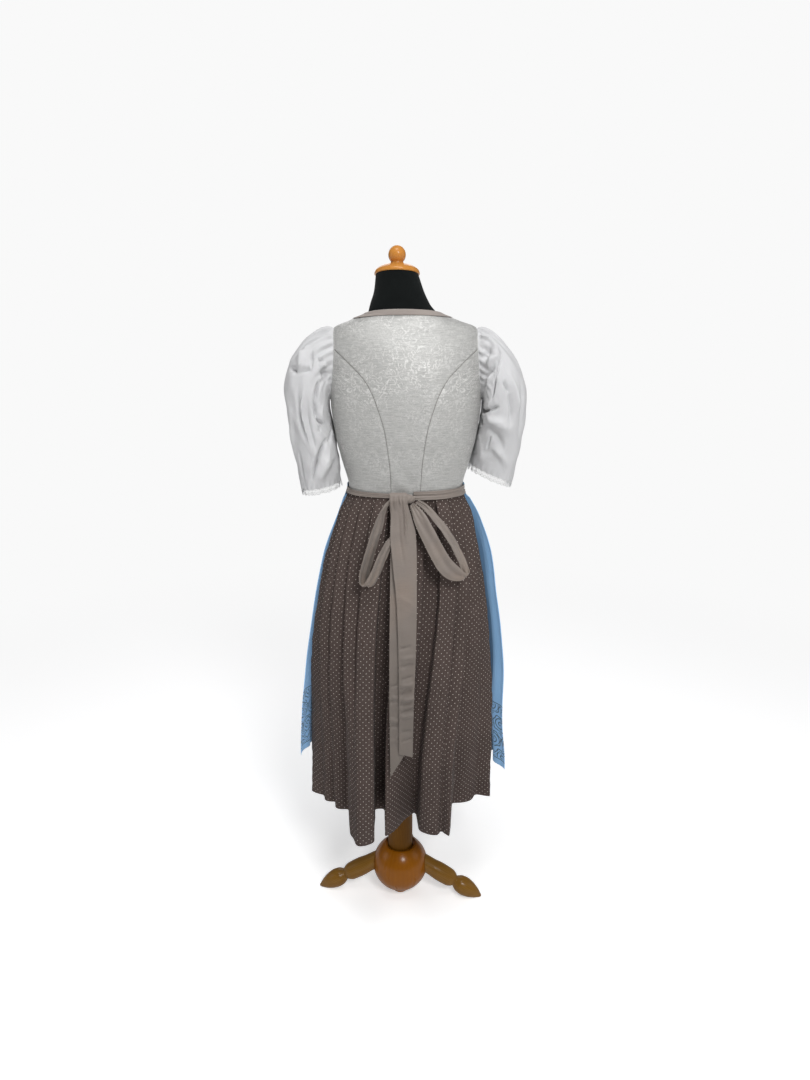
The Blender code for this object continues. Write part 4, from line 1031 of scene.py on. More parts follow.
    def leg(self, name: str, turn: float) -> None:
        """Build one turned leg, from its hollow seat on the ball to its flattened foot.

        Args:
            name: the CAD node that it stands for.
            turn: the way that it points, radians.
        """
        sides = self.leg_sides
        out = np.array([math.cos(turn), math.sin(turn), 0.0])
        across = np.array([-math.sin(turn), math.cos(turn), 0.0])
        axis = out * math.cos(self.leg_slope) - np.array([0.0, 0.0, math.sin(self.leg_slope)])
        up = np.cross(axis, across)
        up *= math.copysign(1.0, up[2])
        centre = np.array([0.0, 0.0, self.ball_z])
        through = out * self.leg_axis_out + np.array([0.0, 0.0, self.leg_axis_z])
        start = through + axis * (self.ball_radius - np.dot(through - centre, axis))
        angle = np.linspace(0.0, math.tau, sides, endpoint=False)
        ring = np.cos(angle)[:, None] * across + np.sin(angle)[:, None] * up
        rows = []
        for part in (0.5, 1.0):
            offset = start + ring * self.leg_radius[0] * part - centre
            depth = offset @ axis
            side = np.linalg.norm(offset - depth[:, None] * axis, axis=1)
            reach = np.sqrt((self.ball_radius + 2 * GAP) ** 2 - side**2)
            rows.append(centre + offset + axis * (reach - depth)[:, None])
        along = np.concatenate([np.linspace(0.004, 0.066, 14), np.linspace(0.067, 0.082, 16),
                                np.linspace(0.084, 0.148, 26)])
        radius = smooth_curve(self.leg_along, self.leg_radius, along)
        for step, size in zip(along, radius):
            row = start + axis * step + ring * size
            row[:, 2] = np.maximum(row[:, 2], 0.0)
            rows.append(row)
        tip = start + axis * (along[-1] + 0.0022) + ring * radius[-1] * 0.55
        tip[:, 2] = np.maximum(tip[:, 2], 0.0)
        rows.append(tip)
        grid = np.array(rows)
        around = np.linspace(0.0, math.tau * self.leg_radius[1], sides + 1)[None, :]
        down = np.append([0.0, 0.01], np.append(along, along[-1] + 0.002))[:, None]
        item = cloth_wall("turned_" + name, grid, grid, Weave.even(around, down), closed=True,
                          ends=True)
        dress(item, Palette.OLIVE, "olive_wood", name)


# ---- bodice
@dataclass
class Bodice:
    """The silver-grey bodice: back, side backs, fronts, neck binding and armhole edges."""

    figure: Figure
    wall: float = 0.0018
    binding_width: float = 0.0125
    binding_wall: float = 0.0013
    binding_lift: float = 0.0011
    fine: int = 5  # rows and columns for each one of the plain solid
    seam_pull: float = 0.0007  # how far the cloth sinks at its seams
    seam_reach: float = 0.0022  # and over what width
    unevenness: float = 0.0004
    thread_radius: float = 0.0005
    edge_radius: float = 0.0011  # of the turned edge round an armhole
    waist_drag: Grid = table(
        (5, 170, 55, 262, 10, -1.6), (0, 205, 60, 300, 9, 1.4), (18, 120, 60, 225, 12, 1.2),
        (10, 255, 70, 292, 6, -1.2), (28, 290, 85, 272, 5, 0.9))

    def build(self) -> None:
        """Build every piece of the bodice."""
        self.back()
        for side, flip in (("left", False), ("right", True)):
            self.side_back(side, flip)
            self.seam(side, flip)
            self.front(side, flip)
            self.armhole_edge(side, flip)
        self.binding()

    def panel(self, name: str, turns: Grid, heights: Grid, flip: bool,
              node: str, seed: int) -> None:
        """Build one panel on the body's hull.

        Args:
            name: the panel's name.
            turns: turns of its points, rows by columns.
            heights: heights of its points.
            flip: mirrors it to the wearer's right.
            node: the CAD node that it stands for.
            seed: which slow unevenness it has.
        """
        turns = 180 - turns if flip else turns
        plain = self.figure.body.point(turns, heights)
        across = run_lengths(plain, 1)
        down = 1.5 - heights
        columns = turns.shape[1]
        edge = np.minimum(np.minimum(across, across[:, -1:] - across), heights - heights[0])
        seam = -self.seam_pull * np.exp(-(edge / self.seam_reach) ** 2)
        lift = seam + self.unevenness * wander(across, down, 0.05, seed) * ease(edge / 0.015)
        lift += crease_relief(across, down - 0.18, self.waist_drag) * ease(edge / 0.012) * 0.8
        outer = self.figure.body.lifted(turns, heights, np.clip(lift, -0.0013, 0.0026))
        inner = self.figure.body.lifted(turns, heights, np.full(turns.shape, -self.wall))
        weave = Weave.even(across - across[:, columns // 2, None] + 0.3 * seed, heights)
        item = cloth_wall(name, draw_back(outer), draw_back(inner), weave)
        dress(item, Palette.JACQUARD, "silver_jacquard", node)

    def back(self) -> None:
        """Build the centre back."""
        figure, fine = self.figure, self.fine
        turn_a, z_a = figure.princess(8 * fine + 1)
        turn_b, z_b = figure.armhole(np.linspace(figure.seam_angle, 0.0, 5 * fine + 1)[1:])
        z_c = np.linspace(figure.shoulder_z, figure.neck_point_z, 5 * fine + 1)[1:]
        turn = np.concatenate([turn_a, turn_b, np.zeros_like(z_c)])
        z = np.concatenate([z_a, z_b, z_c])
        across = np.linspace(-1.0, 1.0, 14 * fine + 1)[None, :]
        dip = (figure.neck_point_z - figure.back_neck_z) * np.linspace(0.0, 1.0, len(z))[:, None]
        turns = 90 + across * (90 - turn[:, None])
        heights = z[:, None] - dip * (1 - across**2)
        self.panel("back_panel", turns, heights, False, "bodice_back", 11)

    def side_back(self, side: str, flip: bool) -> None:
        """Build a side back.

        Args:
            side: left or right.
            flip: mirrors it to the wearer's right.
        """
        figure, fine = self.figure, self.fine
        rows = 8 * fine + 1
        turn_in, z_in = (values[:, None] for values in figure.princess(rows))
        z_out = np.linspace(figure.seam_foot_z, figure.underarm_z, rows)[:, None]
        across = np.linspace(0.0, 1.0, 8 * fine + 1)[None, :]
        rise = np.linspace(0.0, 1.0, rows)[:, None] ** 2
        top_turn, top_z = figure.armhole(figure.seam_angle + (180 - figure.seam_angle) * across)
        turns = turn_in * (1 - across)
        heights = z_in * (1 - across) + z_out * across
        turns += rise * (top_turn - turn_in[-1] * (1 - across))
        heights += rise * (top_z - z_in[-1] * (1 - across) - figure.underarm_z * across)
        self.panel("side_back_panel_" + side, turns, heights, flip, "side_back_" + side,
                   12)

    def seam(self, side: str, flip: bool) -> None:
        """Lay the thread that closes a princess seam, sunk between its panels and coloured darker
        than the cloth as painted shade for the seam's shadow line.

        Args:
            side: left or right.
            flip: mirrors it to the wearer's right.
        """
        turn, z = self.figure.princess(61)
        turn = 180 - turn if flip else turn
        line = self.figure.body.lifted(turn, z, np.full(turn.shape, -0.0003))
        item = cord_tube("princess_seam_" + side, line, self.thread_radius)
        dress(item, Palette.SEAM, "silver_jacquard")

    def front(self, side: str, flip: bool) -> None:
        """Build a front, closed edge to edge at the centre with hidden hooks.

        Args:
            side: left or right.
            flip: mirrors it to the wearer's right.
        """
        figure, fine = self.figure, self.fine
        neck_turn, neck_z = figure.front_neck(8 * fine + 1)
        inner_turn = np.concatenate([np.full(8 * fine + 1, 270.0), neck_turn[1:]])
        inner_z = np.concatenate([np.linspace(figure.seam_foot_z, neck_z[0], 8 * fine + 1),
                                  neck_z[1:]])
        arm_turn, arm_z = figure.armhole(np.linspace(180.0, 360.0, 8 * fine + 1)[1:])
        outer_turn = np.concatenate([np.full(8 * fine + 1, 360.0), 360 + arm_turn])
        outer_z = np.concatenate([np.linspace(figure.seam_foot_z, figure.underarm_z,
                                              8 * fine + 1), arm_z])
        across = np.linspace(0.0, 1.0, 10 * fine + 1)[None, :]
        turns = inner_turn[:, None] + (outer_turn - inner_turn)[:, None] * across
        heights = inner_z[:, None] + (outer_z - inner_z)[:, None] * across
        self.panel("front_panel_" + side, turns, heights, flip, "front_" + side,
                   13)

    def armhole_edge(self, side: str, flip: bool) -> None:
        """Build the narrow turned edge round an armhole.

        Args:
            side: left or right.
            flip: mirrors it to the wearer's right.
        """
        turn, z = self.figure.armhole(np.linspace(0.0, 360.0, 121)[:-1])
        turn = 180 - turn if flip else turn
        line = self.figure.body.lifted(turn, z, np.full(turn.shape, -0.0004))
        item = cord_tube("armhole_edge_" + side, line, self.edge_radius, closed=True)
        dress(item, Palette.JACQUARD, "silver_jacquard")

    def binding(self) -> None:
        """Build the flat binding along the neckline."""
        figure = self.figure
        back_turn = np.linspace(0.0, 180.0, 91)
        back_z = (figure.neck_point_z + (figure.back_neck_z - figure.neck_point_z)
                  * (1 - (back_turn / 90 - 1) ** 2))
        left_turn, left_z = figure.front_neck(66)
        turn = np.concatenate([back_turn, 540 - left_turn[::-1][1:], left_turn[1:-1]])
        z = np.concatenate([back_z, left_z[::-1][1:], left_z[1:-1]])
        body = figure.body
        line = body.point(turn, z)
        down = unit(np.cross(unit(direction(line, True)), body.normal(turn, z)))
        per_turn = body.point(turn + 0.5, z) - body.point(turn - 0.5, z)
        per_rise = (body.point(turn, z + 0.0005) - body.point(turn, z - 0.0005)) / 0.001
        rows_out, rows_in = [], []
        widths = (0.0005, 0.0009, 0.002, 0.005, 0.008, 0.0108, 0.0121, self.binding_width)
        rounds = (0.35, 0.75, 1.0, 1.08, 1.08, 1.0, 0.8, 0.35)
        for width, full in zip(widths, rounds):
            moved = np.array([np.linalg.lstsq(np.stack([a, b], axis=1), d * width, rcond=None)[0]
                              for a, b, d in zip(per_turn, per_rise, down)])
            place = (turn + moved[:, 0], z + moved[:, 1])
            low = np.full(turn.shape, self.binding_lift)
            rows_in.append(body.lifted(*place, low))
            rows_out.append(body.lifted(*place, low + self.binding_wall * full))
        item = cloth_wall("bias_binding", np.array(rows_out), np.array(rows_in), closed=True)
        dress(item, Palette.BINDING, "taupe_binding", "neck_binding")


# ---- repeated motifs
class Motif:
    """A small form that Geometry Nodes set along a path, one for each point."""

    tree_name = ""
    palette = Palette.THREAD

    def sizes(self) -> dict[str, float]:
        """Return the motif's named sizes."""
        return {key: value for key, value in vars(self).items() if isinstance(value, float)}

    def form(self, add: Add, start: Any) -> Socket:
        """Draw the motif, with X along the path and Y the way that it falls.

        Args:
            add: adds a node to the tree.
            start: the tree's inputs.

        Returns:
            The motif's geometry.
        """
        raise NotImplementedError

    def tree(self) -> bpy.types.NodeTree:
        """Return the node tree, made the first time that it is asked for."""
        tree = bpy.data.node_groups.get(self.tree_name)
        if tree:
            return tree
        tree = bpy.data.node_groups.new(self.tree_name, "GeometryNodeTree")
        for name, way, kind in (("Points", "INPUT", "Geometry"),
                                *((size, "INPUT", "Float") for size in self.sizes()),
                                ("seed", "INPUT", "Int"), ("finish", "INPUT", "Material"),
                                ("Pieces", "OUTPUT", "Geometry")):
            tree.interface.new_socket(name, in_out=way, socket_type="NodeSocket" + kind)
        add = partial(add_node, tree)
        start = add("NodeGroupInput").node.outputs
        along, fall = (add("GeometryNodeInputNamedAttribute.FLOAT_VECTOR", name)
                       for name in ("along", "fall"))
        turn = add("FunctionNodeAlignRotationToVector", Vector=along, axis="X")
        turn = add("FunctionNodeAlignRotationToVector", turn, Vector=fall, axis="Y",
                   pivot_axis="X")
        uneven = add("FunctionNodeRandomValue.FLOAT", Min_001=0.94, Max_001=1.03,
                     Seed=start["seed"])
        placed = add("GeometryNodeInstanceOnPoints", start["Points"],
                     Instance=self.form(add, start), Rotation=turn, Scale=uneven)
        add("NodeGroupOutput", add("GeometryNodeSetMaterial", add(
            "GeometryNodeRealizeInstances", placed), Material=start["finish"]))
        return tree

    def build(self, name: str, points: Grid, along: Grid, fall: Grid) -> Piece:
        """Set one motif on each point.

        Args:
            name: the piece's name.
            points: where they go.
            along: the path's direction at each.
            fall: the direction in which each one falls.

        Returns:
            One plain mesh object.
        """
        mesh = bpy.data.meshes.new(name + "_points")
        mesh.from_pydata([tuple(p) for p in points], [], [])
        for key, values in (("along", along), ("fall", fall)):
            layer = mesh.attributes.new(key, "FLOAT_VECTOR", "POINT")
            layer.data.foreach_set("vector", values.astype(np.float32).ravel())
        holder = in_scene(name + "_points", mesh)
        modifier = holder.modifiers.new("motifs", "NODES")
        modifier.node_group = self.tree()
        values = {**self.sizes(), "seed": 7, "finish": self.palette.value.material()}
        for socket in modifier.node_group.interface.items_tree:
            if socket.name in values:
                modifier[socket.identifier] = values[socket.name]
        graph = bpy.context.evaluated_depsgraph_get()
        made = bpy.data.meshes.new_from_object(holder.evaluated_get(graph))
        bpy.data.objects.remove(holder)
        made.name = name
        return in_scene(name, made)


@dataclass
class LaceEdge(Motif):
    """One scallop of cotton lace: a double arc, a rosette and the cord above them."""

    pitch: float = 0.0088
    drop: float = 0.0125
    thread: float = 0.00042  # radius of the corded thread

    tree_name = "lace_scallops"
    palette = Palette.LACE

    def form(self, add: Add, start: Any) -> Socket:
        """Return one scallop, as Motif.form says."""
        pitch, drop = start["pitch"], start["drop"]
        half = add("Math.MULTIPLY", pitch, 0.5)
        side = add("Math.MULTIPLY", pitch, -0.5)
        low = add("Math.SUBTRACT", drop, half)
        middle = add("Math.MULTIPLY", drop, 0.52)
        lines = [add("GeometryNodeCurvePrimitiveLine", Start=add("CombineXYZ", side, 0.0),
                     End=add("CombineXYZ", side, low))]
        for level in (0.04, 0.16):
            y = add("Math.MULTIPLY", drop, level)
            lines.append(add("GeometryNodeCurvePrimitiveLine", Start=add("CombineXYZ", side, y),
                             End=add("CombineXYZ", half, y)))
        for size in (0.5, 0.36):
            radius = add("Math.MULTIPLY", pitch, size)
            arc = add("GeometryNodeCurveArc", Resolution=11, Radius=radius, Start_Angle=0.0,
                      Sweep_Angle=math.pi, mode="RADIUS")
            lines.append(add("GeometryNodeTransform", arc,
                             Translation=add("CombineXYZ", 0.0, low)))
        rosette = add("GeometryNodeCurveStar", Points=7,
                      Inner_Radius=add("Math.MULTIPLY", pitch, 0.13),
                      Outer_Radius=add("Math.MULTIPLY", pitch, 0.3))
        lines.append(add("GeometryNodeTransform", rosette,
                         Translation=add("CombineXYZ", 0.0, middle)))
        joined = add("GeometryNodeJoinGeometry")
        for line in lines:
            joined.node.id_data.links.new(line, joined.node.inputs[0])
        return add("GeometryNodeCurveToMesh", joined, Fill_Caps=True, Profile_Curve=add(
            "GeometryNodeCurvePrimitiveCircle", Resolution=5, Radius=start["thread"]))


@dataclass
class Stitch(Motif):
    """One machine stitch: a short thread that dips into the cloth at both ends."""

    length: float = 0.0024
    thread: float = 0.00024  # radius of the thread

    pitch = 0.0032  # one stitch for each of these lengths
    tree_name = "machine_stitches"

    def form(self, add: Add, start: Any) -> Socket:
        """Return one stitch, as Motif.form says."""
        half, side = (add("Math.MULTIPLY", start["length"], share) for share in (0.5, -0.5))
        dip, rise = (add("Math.MULTIPLY", start["thread"], share) for share in (-1.6, 0.8))
        line = add("GeometryNodeCurveQuadraticBezier", Resolution=4,
                   Start=add("CombineXYZ", side, dip), Middle=add("CombineXYZ", 0.0, rise),
                   End=add("CombineXYZ", half, dip))
        return add("GeometryNodeCurveToMesh", line, Fill_Caps=True, Profile_Curve=add(
            "GeometryNodeCurvePrimitiveCircle", Resolution=4, Radius=start["thread"]))

    def row(self, name: str, line: Grid, face: Grid, slot: str = "taupe_ribbon") -> Piece:
        """Sew a row of stitches along a line of points on a cloth.

        Args:
            name: the row's name.
            line: the points that it follows.
            face: the cloth's outward direction at each.
            slot: the record's material slot of the cloth.

        Returns:
            The stitches, as one piece.
        """
        length = run_lengths(line)
        marks = np.arange(self.pitch * 0.7, length[-1] - self.pitch * 0.5, self.pitch)
        points, out = read_line(marks, length, line), read_line(marks, length, face)
        return dress(self.build(name, points, unit(direction(points)), unit(out)), self.palette,
                     slot)


# ---- blouse
@dataclass
class Blouse:
    """The white blouse: its front in the neckline, and two puff sleeves with lace cuffs."""

    figure: Figure
    wall: float = 0.0012
    columns: int = 180
    rows: int = 126
    gathers: int = 9  # round the sleeve's head
    fine_gathers: int = 27
    cuff_gathers: int = 24
    girth: float = 0.42  # round the sleeve, as its creases are placed
    fine_depth: float = 0.0022  # height of the fine gathers at the head
    cuff_depth: float = 0.001  # and at the cuff
    unevenness: float = 0.0011
    deepest: float = -0.015  # how far creases may sink
    highest: float = 0.0095  # and rise
    lace_drop: float = 0.0125
    insert_turns: Pair = (220.0, 320.0)
    insert_foot_z: float = 1.235
    insert_top_z: float = 1.322  # at the centre front
    insert_rise: float = 0.058  # how much higher it is at its sides
    insert_depth: float = 0.0046  # how far it lies under the bodice's outer face
    insert_gather: float = 0.0007
    insert_pitch: float = 0.011
    # A ring's outer end, x and z; its inner end; its half depth; and its inner end's y.
    left_rings: Grid = table(
        (167, 1397.5, 167.5, 1242, 50, 0), (188, 1390, 167, 1230, 61, 0),
        (218, 1370, 163.5, 1213, 69, 0), (247, 1331, 160, 1194, 73, 0),
        (262, 1279, 155.5, 1170, 72, 0), (259, 1225, 150.5, 1145, 69, 0),
        (248, 1148, 145, 1108, 65, 0), (233, 1056, 145.5, 1072, 59, 0))
    right_rings: Grid = table(
        (163, 1397.5, 167.5, 1243, 50, 0), (180, 1390, 167, 1232, 61, 0),
        (208, 1368, 164, 1218, 69, 0), (237, 1331, 161, 1201, 73, -3),
        (258, 1281, 157, 1180, 72, -8), (261, 1228, 153, 1159, 69, -13),
        (253, 1153, 149, 1135, 65, -21), (236, 1072, 142.5, 1108, 59, -28))
    # Creases as crease_relief reads them. Across runs from the sleeve's top over the back, a
    # quarter of the way round, to the front.
    left_creases: Grid = table(
        (36, 58, 70, 82, 8.5, 9.3), (28, 101, 62, 88.5, 3.82, -10.08),
        (60, 89.5, 87, 56, 3.82, -9.3), (56, 46, 86, 58, 2.72, -6.97),
        (50, 58, 26, 70, 2.97, -5.43), (78, 41, 94, 20, 2.55, -6.97), (92, 36, 104, 16, 3.4, 6.2),
        (106, 34, 125, 12, 5.52, -14.73), (136.5, 10, 160, 42, 6.8, 13.18),
        (160, 34, 146.5, 112, 6.8, 11.62), (114, 44, 125, 84, 5.1, -10.85),
        (124, 78, 132, 122, 4.67, -10.85), (130, 122, 156, 112, 3.82, -10.08),
        (91, 92, 101.5, 200, 3.06, 6.97), (78, 104, 90, 198, 4.67, -5.89),
        (106, 100, 115, 205, 5.1, -5.58), (200, 88, 160, 166, 3.4, -10.85),
        (160, 150, 82, 286, 3.82, -13.18), (178, 170, 104, 290, 10.2, 10.08),
        (55, 150, 30, 250, 7.65, 6.2), (60, 225, 52, 290, 4.25, -5.43),
        (140, 128, 136, 150, 2.55, -4.65))
    right_creases: Grid = table(
        (52.5, 37.5, 94, 10, 5.1, -11.62), (60, 50, 96, 23, 4.67, 10.08),
        (80, 51, 124, 18, 4.08, -10.85), (120, 21, 150, 12, 3.82, -9.3),
        (100, 40, 132, 30, 5.1, 6.97), (44, 45, 65, 56.5, 2.38, -6.97),
        (63, 55, 102.5, 53, 2.38, -7.75), (100, 53, 133, 67, 2.55, -9.3),
        (90, 76, 85, 102, 4.25, -9.3), (85, 98, 88, 162, 5.52, -9.3), (68, 80, 70, 155, 6.8, 7.75),
        (206, 30, 148, 79, 3.57, -17.83), (152, 76, 118, 104, 3.4, -9.3),
        (198, 20, 142, 66, 4.25, 11.62), (206, 56, 176, 106, 4.08, -13.95),
        (192, 62, 158, 92, 4.08, 10.08), (170, 84, 80, 186, 8.5, 10.08),
        (152, 130, 92, 214, 6.37, -7.75), (200, 132, 148, 242, 9.35, 6.97),
        (140, 160, 142, 200, 2.55, -5.43), (132, 195, 70, 245, 6.8, 6.2),
        (46, 100, 52, 200, 6.8, -5.43))

    def build(self) -> None:
        """Build the blouse's front, its sleeves and their lace."""
        self.front()
        for side, rings, creases, sign in (("left", self.left_rings, self.left_creases, 1),
                                           ("right", self.right_rings, self.right_creases, -1)):
            item, cuff, fall = self.sleeve(side, rings, creases, sign)
            edge = self.lace(side, cuff, fall)

    def front(self) -> None:
        """Build the part of the blouse that fills the front neckline, softly gathered."""
        turn = np.linspace(*self.insert_turns, 161)[None, :]
        across = np.linspace(-1.0, 1.0, 161)[None, :]
        share = np.linspace(0.0, 1.0, 40)[:, None]
        top = self.insert_top_z + self.insert_rise * np.abs(across) ** 3
        heights = self.insert_foot_z + (top - self.insert_foot_z) * share
        turns = turn * np.ones_like(heights)
        plain = self.figure.body.point(turns, heights)
        width = run_lengths(plain, 1)
        phase = math.tau * width / self.insert_pitch + 0.8 * np.sin(width * 90)
        gather = self.insert_gather * np.sin(phase) * ease(share * 1.6)
        lift = gather * (1 - 0.5 * across**2) - self.insert_depth
        outer = self.figure.body.lifted(turns, heights, lift)
        inner = self.figure.body.lifted(turns, heights, lift - self.wall * 0.9)
        item = cloth_wall("blouse_insert", outer, inner, Weave.even(width, heights))
        dress(item, Palette.WHITE, "white_cotton", "blouse_front")

    def sleeve(self, side: str, rings: Grid, creases: Grid, sign: int) -> tuple[Piece, Grid, Grid]:
        """Build one sleeve.

        Args:
            side: left or right.
            rings: its rings from the armhole to the cuff.
            creases: its folds.
            sign: 1 on the wearer's left, -1 on the right.

        Returns:
            The sleeve, the points of its cuff, and the direction in which it falls there.
        """
        figure = self.figure
        angle = np.linspace(0.0, 360.0, self.columns, endpoint=False)
        cosine, sine = np.cos(np.radians(angle)), np.sin(np.radians(angle))
        shift = figure.body.at(figure.armhole_z)[3]
        turn, z = figure.armhole(angle)
        seam = figure.body.point(turn, z)
        crown = 0.5 + 0.5 * cosine
        ripple = crown * np.cos(self.gathers * np.radians(angle))
        strengths = (0.04, 0.05, 0.04, 0.025, 0.012, 0.005, 0.0, 0.0)
        rows = []
        for inset, swell in ((-0.0012, 0.96), (0.0035, 0.972)):
            rows.append(np.stack([seam[:, 0] - shift + inset, seam[:, 1] * swell,
                                  figure.armhole_z + (z - figure.armhole_z) * swell], axis=-1))
        for (out_x, out_z, in_x, in_z, deep, in_y), strength in zip(rings, strengths):
            swell = 1 + strength * ripple
            rows.append(np.stack([
                (out_x + in_x) / 2 + (out_x - in_x) / 2 * cosine * swell,
                in_y / 2 - in_y / 2 * cosine + deep * sine * swell,
                (out_z + in_z) / 2 + (out_z - in_z) / 2 * cosine * swell], axis=-1))
        placed = np.array(rows)
        placed[..., 0] = shift + sign * placed[..., 0]
        grid = spline(placed, self.rows)
        normal = grid_normals(grid, closed=True)
        outward = np.sign((normal * (grid - grid.mean(axis=1, keepdims=True))).sum(axis=2).mean())
        normal *= outward
        around = self.girth
        across = np.linspace(0.0, around, self.columns, endpoint=False)[None, :]
        down = run_lengths(grid).mean(axis=1)[:, None]
        length = down[-1, 0]
        share = down / length
        top = ease(1 - share / 0.34) * ease(share / 0.03)
        turned = math.tau * across / around
        fine = np.cos(self.fine_gathers * turned + 1.3 * np.sin(3 * turned))
        uneven = 1 + 0.8 * wander(across, down * 0.5, 0.03, 41 + sign)
        lift = self.fine_depth * fine * top * uneven * (0.25 + 0.75 * crown[None, :])
        free = ease(share / 0.05) * ease((1 - share) / 0.04 + 0.25)
        for folds in (creases, self.hidden_creases(side)):
            lift += crease_relief(across, down, folds, around) * free
        lift += self.unevenness * wander(across, down, 0.06, 21 + sign) * free
        low = ease((share - 0.93) / 0.07)
        lift += self.cuff_depth * low * np.cos(self.cuff_gathers * turned)
        inside = np.maximum(-sign * normal[..., 0], 0.0)
        most = self.highest * (1 - 0.9 * ease((inside - 0.55) / 0.4))
        lift = np.clip(lift, self.deepest, most)
        outer = grid + normal * lift[..., None]
        fold = grid_normals(outer, closed=True) * outward
        inner = outer - fold * self.wall
        ring = np.linspace(0.0, around, self.columns + 1)[None, :]
        item = cloth_wall("puff_sleeve_" + side, outer, inner, Weave.even(ring, -down),
                          closed=True)
        dress(item, Palette.WHITE, "white_cotton", "sleeve_" + side)
        return item, outer[-1], unit(outer[-1] - outer[-4])

    def hidden_creases(self, side: str) -> list[tuple[float, ...]]:
        """Make up softer folds of the same kind for the sleeve's front and outside.

        Args:
            side: left or right, as each has its own.

        Returns:
            A row for each, as crease_relief reads them.
        """
        rng = np.random.default_rng(31 if side == "left" else 32)
        folds = []
        for k in range(11):
            start = self.girth * (0.5 + 0.042 * k) + rng.uniform(-0.006, 0.006)
            down = rng.uniform(0.02, 0.16)
            folds.append((start, down, start + rng.uniform(-0.02, 0.02),
                          down + rng.uniform(0.07, 0.18), rng.uniform(0.006, 0.01),
                          rng.choice((-1, 1)) * rng.uniform(0.0025, 0.0045)))
        return folds

    def lace(self, side: str, cuff: Grid, fall: Grid) -> Piece:
        """Build the scalloped lace that hangs from a cuff, from one motif on its points.

        Args:
            side: left or right.
            cuff: points round the cuff.
            fall: the direction in which the lace falls at each.

        Returns:
            The lace.
        """
        cuff, fall = (np.concatenate([values, values[:1]]) for values in (cuff, fall))
        length = run_lengths(cuff)
        count = int(round(length[-1] / LaceEdge.pitch))
        marks = (np.arange(count) + 0.5) / count * length[-1]
        points, falls = read_line(marks, length, cuff), unit(read_line(marks, length, fall))
        along = unit(direction(points, True))
        item = LaceEdge(pitch=length[-1] / count, drop=self.lace_drop).build(
            "lace_edge_" + side, points + falls * GAP, along, falls)
        return dress(item, Palette.LACE, "white_lace", "cuff_lace_" + side)


# ---- skirt
@dataclass(frozen=True)
class Pleat:
    """One knife pleat at the hem: its turn, its hidden root, its crest and which comes first."""

    hem_turn: float
    root: Pair
    crest: Pair
    lead: int  # 1 where the root comes first, -1 where the crest does
    early: float = 1.5  # how late its root sinks in on the way down: 1 is evenly


